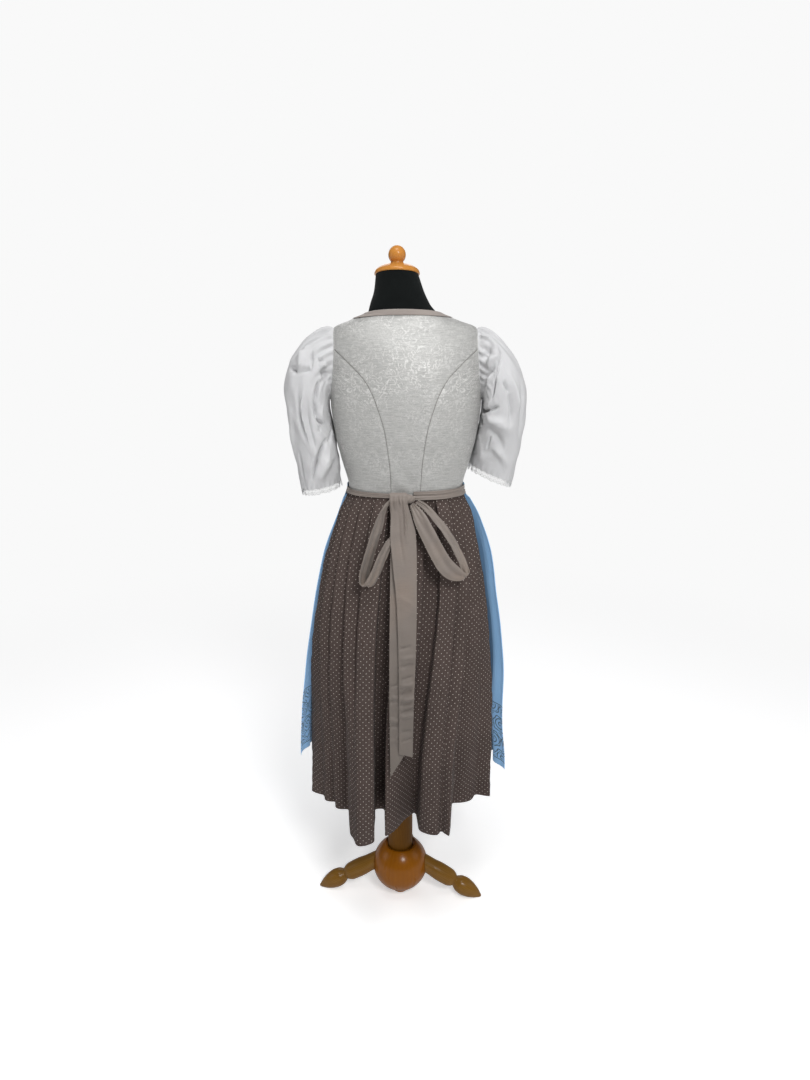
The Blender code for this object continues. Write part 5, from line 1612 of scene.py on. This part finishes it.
@dataclass
class PleatedSkirt:
    """The brown dotted skirt: knife pleats at the waist that open into deep, uneven folds."""

    figure: Figure
    wall: float = 0.0012
    front_count: int = 13
    front_fold_in: float = 0.03
    waist_step: float = 0.0012
    hip_step: float = 0.0055
    back_step: float = 0.0095  # the same on the back, where the pleats were pressed harder
    step_skew: float = 1.1
    back_skew: float = -0.9  # the back's pleats lie over their steps
    folds_start: float = 0.2  # share of the way down where the folds open
    sway: Pair = (0.0016, 0.001)  # slow unevenness, wide and narrow
    rows: int = 88
    corner_points: int = 5
    step_points: int = 3
    face_points: int = 9
    back: list[Pleat] = field(default_factory=lambda: [
        Pleat(-3.0, (0.212, -0.019), (0.2225, -0.01), 1),
        Pleat(30.0, (0.188, 0.012), (0.184, 0.034), 1),
        Pleat(43.0, (0.159, 0.04), (0.157, 0.064), 1),
        Pleat(56.5, (0.124, 0.07), (0.116, 0.15), 1),
        Pleat(64.0, (0.108, 0.182), (0.097, 0.209), 1),
        Pleat(75.0, (0.06, 0.072), (0.057, 0.198), -1, 1.0),
        Pleat(81.0, (0.037, 0.076), (0.034, 0.178), 1, 1.0),
        Pleat(94.0, (-0.033, 0.086), (-0.008, 0.119), -1),
        Pleat(101.0, (-0.038, 0.092), (-0.044, 0.155), 1),
        Pleat(113.0, (-0.095, 0.155), (-0.088, 0.171), -1),
        Pleat(122.0, (-0.128, 0.046), (-0.113, 0.175), -1),
        Pleat(144.0, (-0.186, 0.008), (-0.174, 0.03), -1),
        Pleat(170.0, (-0.224, -0.006), (-0.222, 0.018), -1)])

    def front(self) -> list[Pleat]:
        """Return the front's pleats: mirror-symmetric, turned away from the centre front."""
        body, hem = self.figure.skirt, self.figure.hem_z
        pleats = []
        for k in range(self.front_count):
            turn = 180 + 180 * (k + 0.5) / self.front_count
            lead = 1 if turn < 270.0 else -1
            depth = self.front_fold_in * (0.75 + 0.35 * math.cos(2.3 * k))
            size = body.at(hem)
            root = body.point(turn, hem) * (1 - depth / math.hypot(size[0], size[2]))
            crest = body.point(turn + 2 * lead, hem)
            pleats.append(Pleat(turn, tuple(root[:2]), tuple(crest[:2]), lead))
        return pleats

    def edges(self, z: Grid) -> tuple[Grid, Grid, Grid]:
        """Return every fold edge round the skirt at each height.

        Args:
            z: the heights.

        Returns:
            The edges' places, heights by edges by 2; their turns; and whether each is a crest.
        """
        body, hem = self.figure.skirt, self.figure.hem_z
        crests, waist_turns, hem_turns, offsets, power = [], [], [], [], []
        for half, pleats in ((0.0, self.back), (180.0, self.front())):
            for k, pleat in enumerate(pleats):
                waist = half + 180 * (k + 0.5) / len(pleats)
                pair = [(False, -pleat.lead, pleat.root), (True, pleat.lead, pleat.crest)]
                for crest, sign, place in pair if pleat.lead > 0 else pair[::-1]:
                    crests.append(crest)
                    skew = self.step_skew if half else self.back_skew
                    waist_turns.append(waist + sign * skew / 2)
                    hem_turns.append(pleat.hem_turn + 0.5 * sign)
                    offsets.append(np.array(place) - body.point(hem_turns[-1], hem)[:2])
                    power.append(1.5 if crest else pleat.early)
        crest = np.array(crests)
        share = ((self.figure.waist_z - z) / (self.figure.waist_z - hem))[:, None]
        growth = np.maximum((share - self.folds_start) / (1 - self.folds_start),
                            0.0) ** np.array(power)
        step = self.waist_step + (self.hip_step - self.waist_step) * ease(share / 0.12)
        pressed = self.waist_step + (self.back_step - self.waist_step) * ease(
            (share - 0.016) / 0.05)
        step = np.where(np.arange(len(crest)) < 2 * len(self.back), pressed, step)
        step *= (1 - ease((share - 0.25) / 0.5))
        turn = np.array(waist_turns) + (np.array(hem_turns) - waist_turns) * ease(share * 1.2)
        level = np.broadcast_to(z[:, None], turn.shape)
        points = body.lifted(turn, level, np.where(crest, step, -step))[..., :2]
        return points + np.array(offsets) * growth[..., None], turn, crest

    def rings(self, z: Grid) -> Grid:
        """Lay the cloth's faces between its fold edges: folds rounded, faces bowed.

        Args:
            z: the heights.

        Returns:
            The cloth's points, heights by columns.
        """
        edge, turn, crest = self.edges(z)
        share = (self.figure.waist_z - z) / (self.figure.waist_z - self.figure.hem_z)
        growth = np.maximum((share - self.folds_start) / (1 - self.folds_start), 0.0) ** 1.5
        first, second = edge[:, 0::2], edge[:, 1::2]
        nxt = np.roll(first, -1, axis=1)
        step_length = np.linalg.norm(second - first, axis=2)
        face_length = np.linalg.norm(nxt - second, axis=2)
        middle = turn[:, 1::2] + ((np.roll(turn[:, 0::2], -1, axis=1) - turn[:, 1::2]) % 360.0) / 2
        outward = self.figure.skirt.normal(middle, z[:, None])[..., :2]
        bow = np.minimum(0.0015 + 0.005 * growth[:, None], 0.12 * face_length)
        both_roots = ~crest[1::2] & ~np.roll(crest[0::2], -1)
        bow = np.where(both_roots, -bow, bow)
        largest = (0.003 + 0.004 * growth)[:, None]
        radius_second = np.minimum(np.minimum(largest, 0.35 * step_length), 0.2 * face_length)
        radius_first = np.minimum(np.minimum(largest, 0.35 * step_length),
                                  0.2 * np.roll(face_length, 1, axis=1))

        def on_face(t: Grid) -> Grid:
            """Return the places on each face at these shares of its width."""
            return (second + (nxt - second) * t[..., None]
                    + outward * (bow * 4.5 * t * (1 - t))[..., None])

        start = radius_second / face_length
        end = 1 - np.roll(radius_first, -1, axis=1) / face_length
        run = (second - first) / step_length[..., None]
        low, high = first + run * radius_first[..., None], second - run * radius_second[..., None]
        columns = []
        bends = ((np.roll(on_face(end), 1, axis=1), first, low), (high, second, on_face(start)))
        for number, (before, corner, after) in enumerate(bends):
            for t in np.linspace(0.0, 1.0, self.corner_points):
                columns.append(before * (1 - t) ** 2 + corner * 2 * t * (1 - t) + after * t**2)
            if number == 0:
                for t in np.arange(1, self.step_points + 1) / (self.step_points + 1):
                    columns.append(low + (high - low) * t)
        for t in np.arange(1, self.face_points + 1) / (self.face_points + 1):
            columns.append(on_face(start + (end - start) * t))
        flat = np.stack(columns, axis=2).reshape(len(z), -1, 2)
        level = np.broadcast_to(z[:, None, None], flat.shape[:2] + (1,))
        return np.concatenate([flat, level], axis=2)

    def panels(self, grid: Grid) -> Weave:
        """Lay the weave: unbroken from hidden root to hidden root, straight down each crest.

        Args:
            grid: the cloth's points.

        Returns:
            The weave.
        """
        rows, total = grid.shape[:2]
        crest = self.edges(np.array([self.figure.hem_z]))[2]
        per_pleat = total // (len(crest) // 2)
        half_bend = self.corner_points // 2
        second = self.corner_points + self.step_points + half_bend
        places = [k // 2 * per_pleat + (half_bend if k % 2 == 0 else second)
                  for k in range(len(crest))]
        roots = [place for place, high in zip(places, crest) if not high]
        crests = [place for place, high in zip(places, crest) if high]
        ring = np.concatenate([grid, grid, grid[:, :1]], axis=1)
        across, up = run_lengths(ring, 1), run_lengths(ring)
        left, right = np.zeros((rows, total, 2)), np.zeros((rows, total, 2))
        for k, start in enumerate(roots):
            end = roots[k + 1] if k + 1 < len(roots) else roots[0] + total
            between = [c for c in crests + [c + total for c in crests] if start < c < end]
            anchor = int(round(sum(between) / len(between))) if between else (start + end) // 2
            shift = across[0, anchor] - across[:, anchor]
            for strip in range(start, end):
                for side, column in ((left, strip), (right, strip + 1)):
                    side[:, strip % total, 0] = across[:, column] + shift
                    side[:, strip % total, 1] = up[:, anchor]
        return Weave(left, right)

    def build(self) -> None:
        """Build the back and the front, sewn at the sides."""
        figure = self.figure
        shares = np.linspace(0.0, 1.0, self.rows) ** 1.15
        top = figure.waist_z - GAP
        z = figure.hem_z + (top - figure.hem_z) * (1 - shares[::-1])
        grid = self.rings(z)
        weave = self.panels(grid)
        turn = np.degrees(np.arctan2(grid[..., 1], grid[..., 0]))
        arc = np.radians(turn) * 0.2
        level = grid[..., 2]
        soft = ease((top - level) / 0.12)
        sway = (self.sway[0] * wander(arc, level * 0.45, 0.075, 41)
                + self.sway[1] * wander(arc, level, 0.04, 42))
        grid[..., :2] += unit(grid[..., :2]) * (sway * soft)[..., None]
        inner = grid - grid_normals(grid, closed=True) * self.wall
        inner[..., 2] = grid[..., 2]
        total = grid.shape[1]
        per_pleat = total // (len(self.back) + self.front_count)
        seam = per_pleat - self.face_points + 6
        half = len(self.back) * per_pleat
        start = total - per_pleat + seam
        spans = {"skirt_back": (start, start + half), "skirt_front": (start - half, start)}
        for node, (low, high) in spans.items():
            columns = np.arange(low, high + 1) % total
            sides = [draw_back(surface[:, columns].copy()) for surface in (grid, inner)]
            strips = columns[:-1]
            cloth = Weave(weave.left[:, strips], weave.right[:, strips])
            item = cloth_wall("pleated_" + node, *sides, cloth)
            dress(item, Palette.DOTTED, "brown_cotton", node)


# ---- apron
@dataclass
class Apron:
    """The blue apron: gathered into its waistband, with a printed border above the hem."""

    figure: Figure
    wall: float = 0.001
    band_wall: float = 0.002
    band_lift: float = 0.0024
    band_turns: Pair = (177.5, 362.5)
    # Height of each line along the band, and how much higher than the plain lift it lies.
    band_levels: Grid = table((1036, 1.6), (1056.2, 0.2), (1066, 0))
    top_z: float = 1.0357
    hem_z: float = 0.335
    edge_rise: Pair = (0.015, 0.055)
    turns: Pair = (180.5, 359.5)
    flare: float = 2.5
    # How far the cloth draws in behind its turned-out side hems, right and left.
    curl: Pair = (0.01, 0.0015)
    gathers: int = 22
    gather_depth: float = 0.002
    folds: int = 8
    fold_depth: float = 0.0095
    columns: int = 352
    rows: int = 96
    hem_depth: float = 0.016
    side_hem: float = 0.009
    turned_in: float = 0.0005  # how much thicker the doubled hems are

    def points(self, across: Grid, z: Grid) -> Grid:
        """Hang the cloth from its gathers.

        Args:
            across: shares of its width, from the wearer's right.
            z: heights.

        Returns:
            Points of its inner face.
        """
        share = (self.top_z - z) / (self.top_z - self.hem_z)
        swing = self.flare * ease(share * 1.5)
        turn = self.turns[0] - swing + (self.turns[1] - self.turns[0] + 2 * swing) * across
        gather = self.gather_depth * (1 - ease(share / 0.5)) + 0.0003
        fold = self.fold_depth * ease((share - 0.05) / 0.9)
        wave = (0.5 + 0.5 * np.cos(math.tau * self.gathers * across)) * gather
        phase = self.folds * across + 0.16 * np.sin(7 * across)
        wave += (0.5 + 0.5 * np.cos(math.tau * phase)) * fold
        fine = 0.5 + 0.5 * np.cos(math.tau * (47 * across + 0.4 * np.sin(23 * across)))
        wave += 0.0012 * fine * ease((0.16 - share) / 0.12) * ease(share / 0.004 + 0.3)
        sway = wander(across * 0.8, share * 0.35, 0.07, 51)
        wave += 0.0008 * (1 + sway) * ease(share / 0.2)
        from_edge = 0.9 * np.minimum(across, 1 - across)
        curl = ease(from_edge / 0.04) * ease((0.12 - from_edge) / 0.075) * ease(share / 0.2)
        reach = np.where(across < 0.5, *self.curl)
        return self.figure.apron.lifted(turn, z, wave - reach * curl)

    def build(self) -> None:
        """Build the panel with its hems, and the waistband."""
        shares = np.linspace(0.0, 1.0, self.rows) ** 1.1
        level = self.hem_z + (self.top_z - self.hem_z) * (1 - shares[::-1])[:, None]
        across = np.linspace(0.0, 1.0, self.columns + 1)[None, :]
        rise = (self.edge_rise[0] * (1 - ease(across / 0.3))
                + self.edge_rise[1] * ease((across - 0.7) / 0.3))
        drop = (self.top_z - level) / (self.top_z - self.hem_z)
        inner = self.points(across, level + rise * drop)
        inner[-1, :, 2] = self.top_z
        up = run_lengths(inner)
        wide = run_lengths(inner, 1)
        from_side = np.minimum(wide, wide[:, -1:] - wide)
        doubled = np.maximum(ease((self.hem_depth - up) / 0.0012),
                             ease((self.side_hem - from_side) / 0.0012))
        thick = self.wall + self.turned_in * doubled
        normal = grid_normals(inner)
        outer = inner + normal * thick[..., None]
        outer[..., 2] = inner[..., 2]
        width = wide[0, -1]
        item = cloth_wall("apron_cloth", outer, inner, Weave.even(across * width, up))
        dress(item, Palette.BLUE, "blue_cotton", "apron_panel")
        row = int(np.argmin(np.abs(up[:, 0] - self.hem_depth + 0.001)))
        hem = Stitch().row("hem_stitches", outer[row], normal[row], slot="blue_cotton")
        for side, near in (("right", np.arange(0, 14)), ("left", np.arange(-14, 0))):
            column = near[int(np.argmin(np.abs(from_side[20, near] - self.side_hem + 0.001)))]
            Stitch().row("side_stitches_" + side, outer[:, column],
                                      normal[:, column], slot="blue_cotton")
        self.waistband()

    def waistband(self) -> None:
        """Build the waistband that the panel is gathered into."""
        grid, inner = waist_band(self.figure, *self.band_turns, self.band_levels
                                 + (0.0, self.band_lift), 180, 16, self.band_wall, 61)
        item = cloth_wall("apron_band", grid, inner)
        dress(item, Palette.BLUE_BAND, "blue_cotton", "apron_waistband")
        normal = grid_normals(grid)
        seams = [Stitch().row("band_stitches_" + name, grid[row], normal[row], slot="blue_cotton")
                 for name, row in (("low", 1), ("high", -2))]


def waist_band(figure: Figure, start: float, end: float, levels: Grid, columns: int, rows: int,
               wall: float, seed: int, pleats: float = 0.0) -> tuple[Grid, Grid]:
    """Return the two faces of a band round the waist.

    Args:
        figure: what it lies on.
        start: turn of its first end.
        end: turn of its last end.
        levels: height and lift of each line along it, from the lowest up.
        columns: how many strips run round it.
        rows: how many lines run along it.
        wall: its thickness.
        seed: which slow unevenness it has.
        pleats: depth of the soft folds that run along it.

    Returns:
        Points of the outer and of the inner face.
    """
    turn = np.linspace(start, end, columns + 1)[None, :]
    foot, top = levels[[0, -1], 0]
    z = np.linspace(foot, top, rows)[:, None]
    lift = np.interp(z, levels[:, 0], levels[:, 1])
    turn, level = np.broadcast_arrays(turn, z)
    arc = np.radians(turn) * 0.115
    sway = wander(arc * 0.35, level, 0.012, seed)
    place = (level - foot) / (top - foot)
    phase = 3.2 * place + 0.35 * wander(arc, place * 0, 0.09, seed + 1)
    fold = pleats * np.sin(math.tau * phase)
    faces = []
    for extra in (wall, 0.0):
        rise = lift + extra * (1 - 0.25 * (2 * place - 1) ** 4)
        if extra:
            rise += np.clip(0.0003 * sway + fold, -0.0006, 0.0012)
        low = figure.skirt.lifted(turn, np.minimum(level, figure.waist_z), rise)
        high = figure.body.lifted(turn, np.maximum(level, figure.waist_z), rise)
        points = np.where((level >= figure.waist_z)[..., None], high, low)
        points[..., 2] = level
        faces.append(points)
    return faces[0], faces[1]


# ---- bow
@dataclass
class BackBow:
    """The apron's ties, knotted at the centre back in a bow with two long tails."""

    figure: Figure
    wall: float = 0.0011
    band_wall: float = 0.002
    band_lift: float = 0.0024
    # Height of each line along a tie, and how much higher than the plain lift it lies.
    left_levels: Grid = table((1050, 1.2), (1056, 0.4), (1060, 0))
    right_levels: Grid = table((1046.5, 1.4), (1051.5, 1.8), (1053.5, 0.4), (1055.5, 0.4),
                               (1061, 0.9), (1064.5, 0))
    tie_folds: float = 0.0005  # depth of the folds along the ties
    knot_centre: Place = (-0.008, 0.1052, 1.052)
    knot_half: Place = (0.0255, 0.0118, 0.0115)
    knot_power: float = 2.4  # 2 is an egg, larger is squarer
    tail_rows: int = 300
    tail_columns: int = 26
    cup: float = 0.001  # how far a loop's edges curl
    gather_depth: float = 0.0013  # height of the gathers at the knot
    fold_depth: float = 0.0011  # and of the soft folds away from it
    # Places along each loop: the ribbon's middle, and half of its width as a vector.
    left_loop: Grid = table(
        (17.1, 106, 1049.7, 1, 4, 3), (33, 123, 1030, 5, 9, 4), (45, 137, 998, 9, 13, 5),
        (57, 145, 960, 10, 14, 5), (68.5, 149, 921, 10, 14, 5), (75, 151, 892, 10, 14, 5),
        (73.5, 152, 876, 10, 14, 5), (65, 152.5, 875, 10, 14, 5), (55.5, 152, 889, 10, 14, 5),
        (45, 149, 912, 10, 13, 5), (35, 143, 936, 9, 10, 6), (24, 131.5, 957, 6, 3, 7),
        (10, 125.2, 974, 4, 0, 8))
    right_loop: Grid = table(
        (-26.2, 110.5, 1042, 4, 3, -3), (-43, 133, 1015, 9.5, 2, -12), (-59, 146, 986, 11, 1, -14),
        (-77, 154, 952, 11.5, 1, -14.5), (-95, 157, 922, 11.5, 1, -14.5),
        (-115, 156, 903, 11, 1, -13), (-134.5, 150, 893, 7, 0, -8), (-141.5, 143, 897, 7, 0, -8),
        (-131, 138, 929, 5, 8.5, -5.8), (-115, 134.5, 961, 4.5, 9, -5.2),
        (-94.5, 129.5, 994, 4.5, 8.5, -5.2), (-72, 122, 1020, 4, 6.5, -4.8),
        (-53, 114.5, 1038, 4, 3, -4.5), (-37.5, 109.5, 1047.5, 3.5, 0, -3.5))
    # Levels of each tail: z of its left and right edges, x of both, and how far it hangs clear.
    front_tail: Grid = table(
        (1065.2, 1065.2, 18.5, -15, 20.5), (1061, 1061, 19.2, -15.5, 27.8),
        (1052, 1052, 20, -16, 28.6), (1040.2, 1040.2, 19.5, -18.5, 25.8),
        (1015, 1015, 18, -26, 23.5), (978, 978, 19, -35, 25), (911, 911, 13, -37, 25),
        (830, 830, 5.5, -37, 23), (720, 720, 2, -35, 21), (600, 600, 1, -30.8, 21),
        (497, 490, 1, -29, 22))
    back_tail: Grid = table(
        (1039.6, 1039.6, 11, -15, 11.5), (1015, 1015, 11.5, -15.5, 13), (985, 985, 13, -16, 13),
        (930, 930, 19, -16, 13), (853, 853, 20, -16, 12), (740, 740, 21.5, -16, 12),
        (624, 624, 22, -16, 13), (540, 540, 21.5, -16, 15), (438, 498, 20, -15, 16))
    # Across runs from the tail's left edge, down from its top.
    front_creases: Grid = table(
        (3, -12, 4, 40, 2, 2.8), (13, -12, 10.5, 36, 2.6, 4.2), (18.5, -12, 24, 30, 2.2, 3.6),
        (27.5, -12, 34, 105, 2.4, 4.4), (16, 30, 24, 150, 3, -1.8), (-4, 210, 40, 235, 6, 1.2),
        (0, 330, 30, 322, 3.96, -3.36), (2, 352, 36, 345, 4.45, 3.36),
        (0, 372, 34, 360, 3.96, -3.84), (4, 398, 36, 388, 3.96, -3.36),
        (0, 412, 36, 405, 4.45, 4.32), (0, 434, 30, 418, 4.45, -5.76),
        (2, 444, 38, 436, 3.96, 5.28), (0, 456, 28, 449, 3.47, -4.32),
        (4, 474, 38, 462, 4.45, -5.76), (0, 482, 36, 476, 3.96, 4.32),
        (0, 518, 30, 512, 3.96, -3.36), (4, 540, 34, 530, 3.96, -3.36))
    back_creases: Grid = table(
        (6, -10, 10, 100, 3, 1.2), (18, -10, 24, 90, 3, 1.2), (0, 350, 34, 330, 7, 1),
        (0, 392, 20, 386, 3.5, -2.4), (0, 412, 20, 418, 4.5, 3), (0, 426, 20, 424, 3.5, -3),
        (0, 464, 20, 472, 4.5, 3.2), (0, 480, 20, 482, 3.5, -3.4), (0, 520, 18, 512, 5, 1.6))

    def build(self) -> None:
        """Build the ties, the knot, the loops and the tails."""
        self.ties()
        self.knot()
        self.loop("left", self.left_loop, 0.0)
        self.loop("right", self.right_loop, 1.0)
        self.tail("front", self.front_tail, self.front_creases, least=-0.004, most=0.006)
        self.tail("back", self.back_tail, self.back_creases, least=-0.0025, most=0.0025)

    def ties(self) -> None:
        """Build the two ties round to the back, drawn into soft folds."""
        for side, start, end, levels in (("left", 2.7, 84.0, self.left_levels),
                                         ("right", 96.0, 177.3, self.right_levels)):
            grid, inner = waist_band(self.figure, start, end, levels + (0.0, self.band_lift), 110,
                                     20, self.band_wall, 71 + len(side), self.tie_folds)
            item = cloth_wall("apron_tie_" + side, grid, inner)
            dress(item, Palette.RIBBON, "taupe_ribbon", "tie_" + side)

    def knot(self) -> None:
        """Build the knot: cloth wrapped round the bow's middle, in uneven folds."""
        along = np.linspace(-1.0, 1.0, 61)[:, None]
        angle = np.linspace(0.0, 360.0, 72, endpoint=False)[None, :]
        power = self.knot_power
        girth = np.maximum(1 - np.abs(along) ** power, 0.0) ** (1 / power)
        slant = math.tau * (3.1 * along + 0.0011 * angle) + 1.3 * np.sin(np.radians(angle))
        fold = (0.045 * np.sin(slant) + 0.03 * np.sin(math.tau * 6.2 * along + 1)) * girth
        ring = np.stack(np.broadcast_arrays(
            along, girth * signed_power(np.cos(np.radians(angle)), 0.85) * (0.93 + fold),
            girth * signed_power(np.sin(np.radians(angle)), 0.85) * (0.93 + fold)), axis=-1)
        grid = (np.array(self.knot_centre) + ring * np.array(self.knot_half))[1:-1]
        item = cloth_wall("wrapped_knot", grid, grid, closed=True, ends=True)
        dress(item, Palette.RIBBON, "taupe_ribbon", "bow_knot")

    def loop(self, side: str, places: Grid, lean: float) -> None:
        """Build one loop of the bow.

        Args:
            side: left or right.
            places: places along it.
            lean: how its soft folds are shifted, radians.
        """
        line = spline(places, 110)
        across = np.linspace(-1.0, 1.0, 15)
        grid = line[:, None, :3] + line[:, None, 3:] * across[None, :, None]
        down = run_lengths(grid)[:, 7]
        share = (down / down[-1])[:, None]
        gather = ease(1 - share / 0.2) + 0.7 * ease((share - 0.85) / 0.15)
        lift = self.cup * (across[None, :] ** 2 - 0.4) * (1 - gather)
        crimp = np.cos(math.tau * 1.6 * across[None, :] + lean)
        lift += gather * self.gather_depth * crimp
        fold = np.cos(math.tau * (0.9 * across[None, :] + 0.3 * np.sin(5 * share) + lean / 3))
        lift += self.fold_depth * fold * (1 - gather)
        lift += 0.001 * wander(across[None, :] * 0.012, down[:, None], 0.022, 81)
        middle = grid + grid_normals(grid) * lift[..., None]
        half = grid_normals(middle) * self.wall / 2
        item = cloth_wall("ribbon_loop_" + side, middle + half, middle - half)
        dress(item, Palette.RIBBON, "taupe_ribbon", "bow_loop_" + side)

    def tail(self, name: str, levels: Grid, creases: Grid, least: float,
             most: float) -> None:
        """Build one tail.

        Args:
            name: front or back.
            levels: its levels.
            creases: its folds and creases.
            least: how far the folds may sink towards what is behind, metres, negative.
            most: how far they may rise.
        """
        rows, columns = self.tail_rows, self.tail_columns
        steps = np.arange(len(levels))
        marks = np.linspace(0, len(levels) - 1, 900)
        height = smooth_curve(steps, levels, marks)[:, 0]
        marks = np.interp(np.linspace(height[0], height[-1], rows), height[::-1], marks[::-1])
        read = smooth_curve(steps, levels, marks)
        part = np.linspace(0.0, 1.0, columns)[None, :]
        z = read[:, 0, None] + (read[:, 1] - read[:, 0])[:, None] * part
        x = read[:, 2, None] + (read[:, 3] - read[:, 2])[:, None] * part
        back = self.figure.skirt.at(z)[..., 1] + read[:, 4, None]
        down = z[0, 0] - z
        across = np.abs(x - x[:, :1])
        free = ease(down / 0.02 + 0.15)
        lift = crease_relief(across, down, creases) + 0.0008 * wander(across, down, 0.05, 91)
        lift = np.clip(lift, least, most) * free
        inner = np.stack([x, back + lift, z], axis=-1)
        normal = -grid_normals(inner)
        normal *= np.sign(normal[..., 1:2])
        edge = np.minimum(part, 1 - part) * np.abs(read[:, 3] - read[:, 2])[:, None]
        hem = ease((0.0045 - edge) / 0.0008) * 0.0003
        outer = inner + normal * (self.wall + hem)[..., None]
        item = cloth_wall("ribbon_tail_" + name, outer, inner, Weave.even(across, down))
        dress(item, Palette.RIBBON, "taupe_ribbon", "bow_tail_" + name)
        for side, column in (("left", 3), ("right", columns - 4)):
            Stitch().row(f"tail_{name}_stitches_{side}", outer[4:-2, column],
                                      normal[4:-2, column])


# ---- studio
@dataclass
class Studio:
    """White paper floor, soft light and the camera."""

    camera_place: Place = (-0.012, 1.717, 1.4)
    tilt: float = math.radians(90.0 - 15.2)
    lens: float = 26.0
    floor_half: float = 9.0
    air: str = "#5A5A5C"  # light from all round
    backdrop: str = "#F9F9F9"  # what is seen behind the floor
    boxes: tuple = (  # name, place, side in metres, power in watts
        ("key_box", (-0.9, 2.9, 3.1), 0.9, 66.0),
        ("top_box", (0.0, 1.1, 4.3), 1.6, 60.0),
        ("fill_left", (3.2, 0.4, 1.7), 1.6, 9.0),
        ("fill_right", (-3.2, 0.2, 1.7), 1.6, 7.0),
        ("front_fill", (0.3, -3.2, 2.6), 2.0, 20.0))

    def build(self) -> None:
        """Build the floor, the lights and the camera."""
        self.floor()
        self.lights()
        self.camera()

    def floor(self) -> None:
        """Lay the white paper."""
        half = self.floor_half
        points = np.array([(-half, -half, 0.0), (half, -half, 0.0), (half, half, 0.0),
                           (-half, half, 0.0)])
        item = mesh_object("paper_floor", points, np.array([[0, 1, 2, 3]]), points[None, :, :2])
        item.data.materials.append(StudioPaper().material())

    def lights(self) -> None:
        """Hang a soft box over the camera, one overhead and a weak fill on each side."""
        world = bpy.data.worlds.new("studio_air")
        world.use_nodes = True
        add = partial(add_node, world.node_tree)
        seen = add("LightPath")
        air = world.node_tree.nodes["Background"].inputs
        world.node_tree.links.new(add("Mix.RGBA", seen, self.air, self.backdrop), air["Color"])
        bpy.context.scene.world = world
        for name, place, size, power in self.boxes:
            lamp = bpy.data.lights.new(name, "AREA")
            lamp.energy, lamp.size = power, size
            item = in_scene(name, lamp)
            item.location = place
            item.rotation_euler = (Vector((0.0, 0.0, 0.9)) - Vector(place)).to_track_quat(
                "-Z", "Y").to_euler()

    def camera(self) -> None:
        """Stand the camera behind the garment, a little above it and tilted down."""
        camera = bpy.data.cameras.new("camera")
        camera.lens = self.lens
        item = in_scene("camera", camera)
        item.location = self.camera_place
        item.rotation_euler = (self.tilt, 0.0, math.pi)
        bpy.context.scene.camera = item


def main() -> None:
    """Build and dress every part of the object."""
    logging.basicConfig(level=logging.INFO, format="%(name)s: %(message)s")
    bpy.context.scene.view_settings.view_transform = "Standard"
    figure = Figure()
    for part in (Studio(), DressForm(figure), Bodice(figure), Blouse(figure),
                 PleatedSkirt(figure), Apron(figure), BackBow(figure)):
        LOG.info("building the %s", type(part).__name__)
        part.build()


if __name__ == "__main__":
    main()
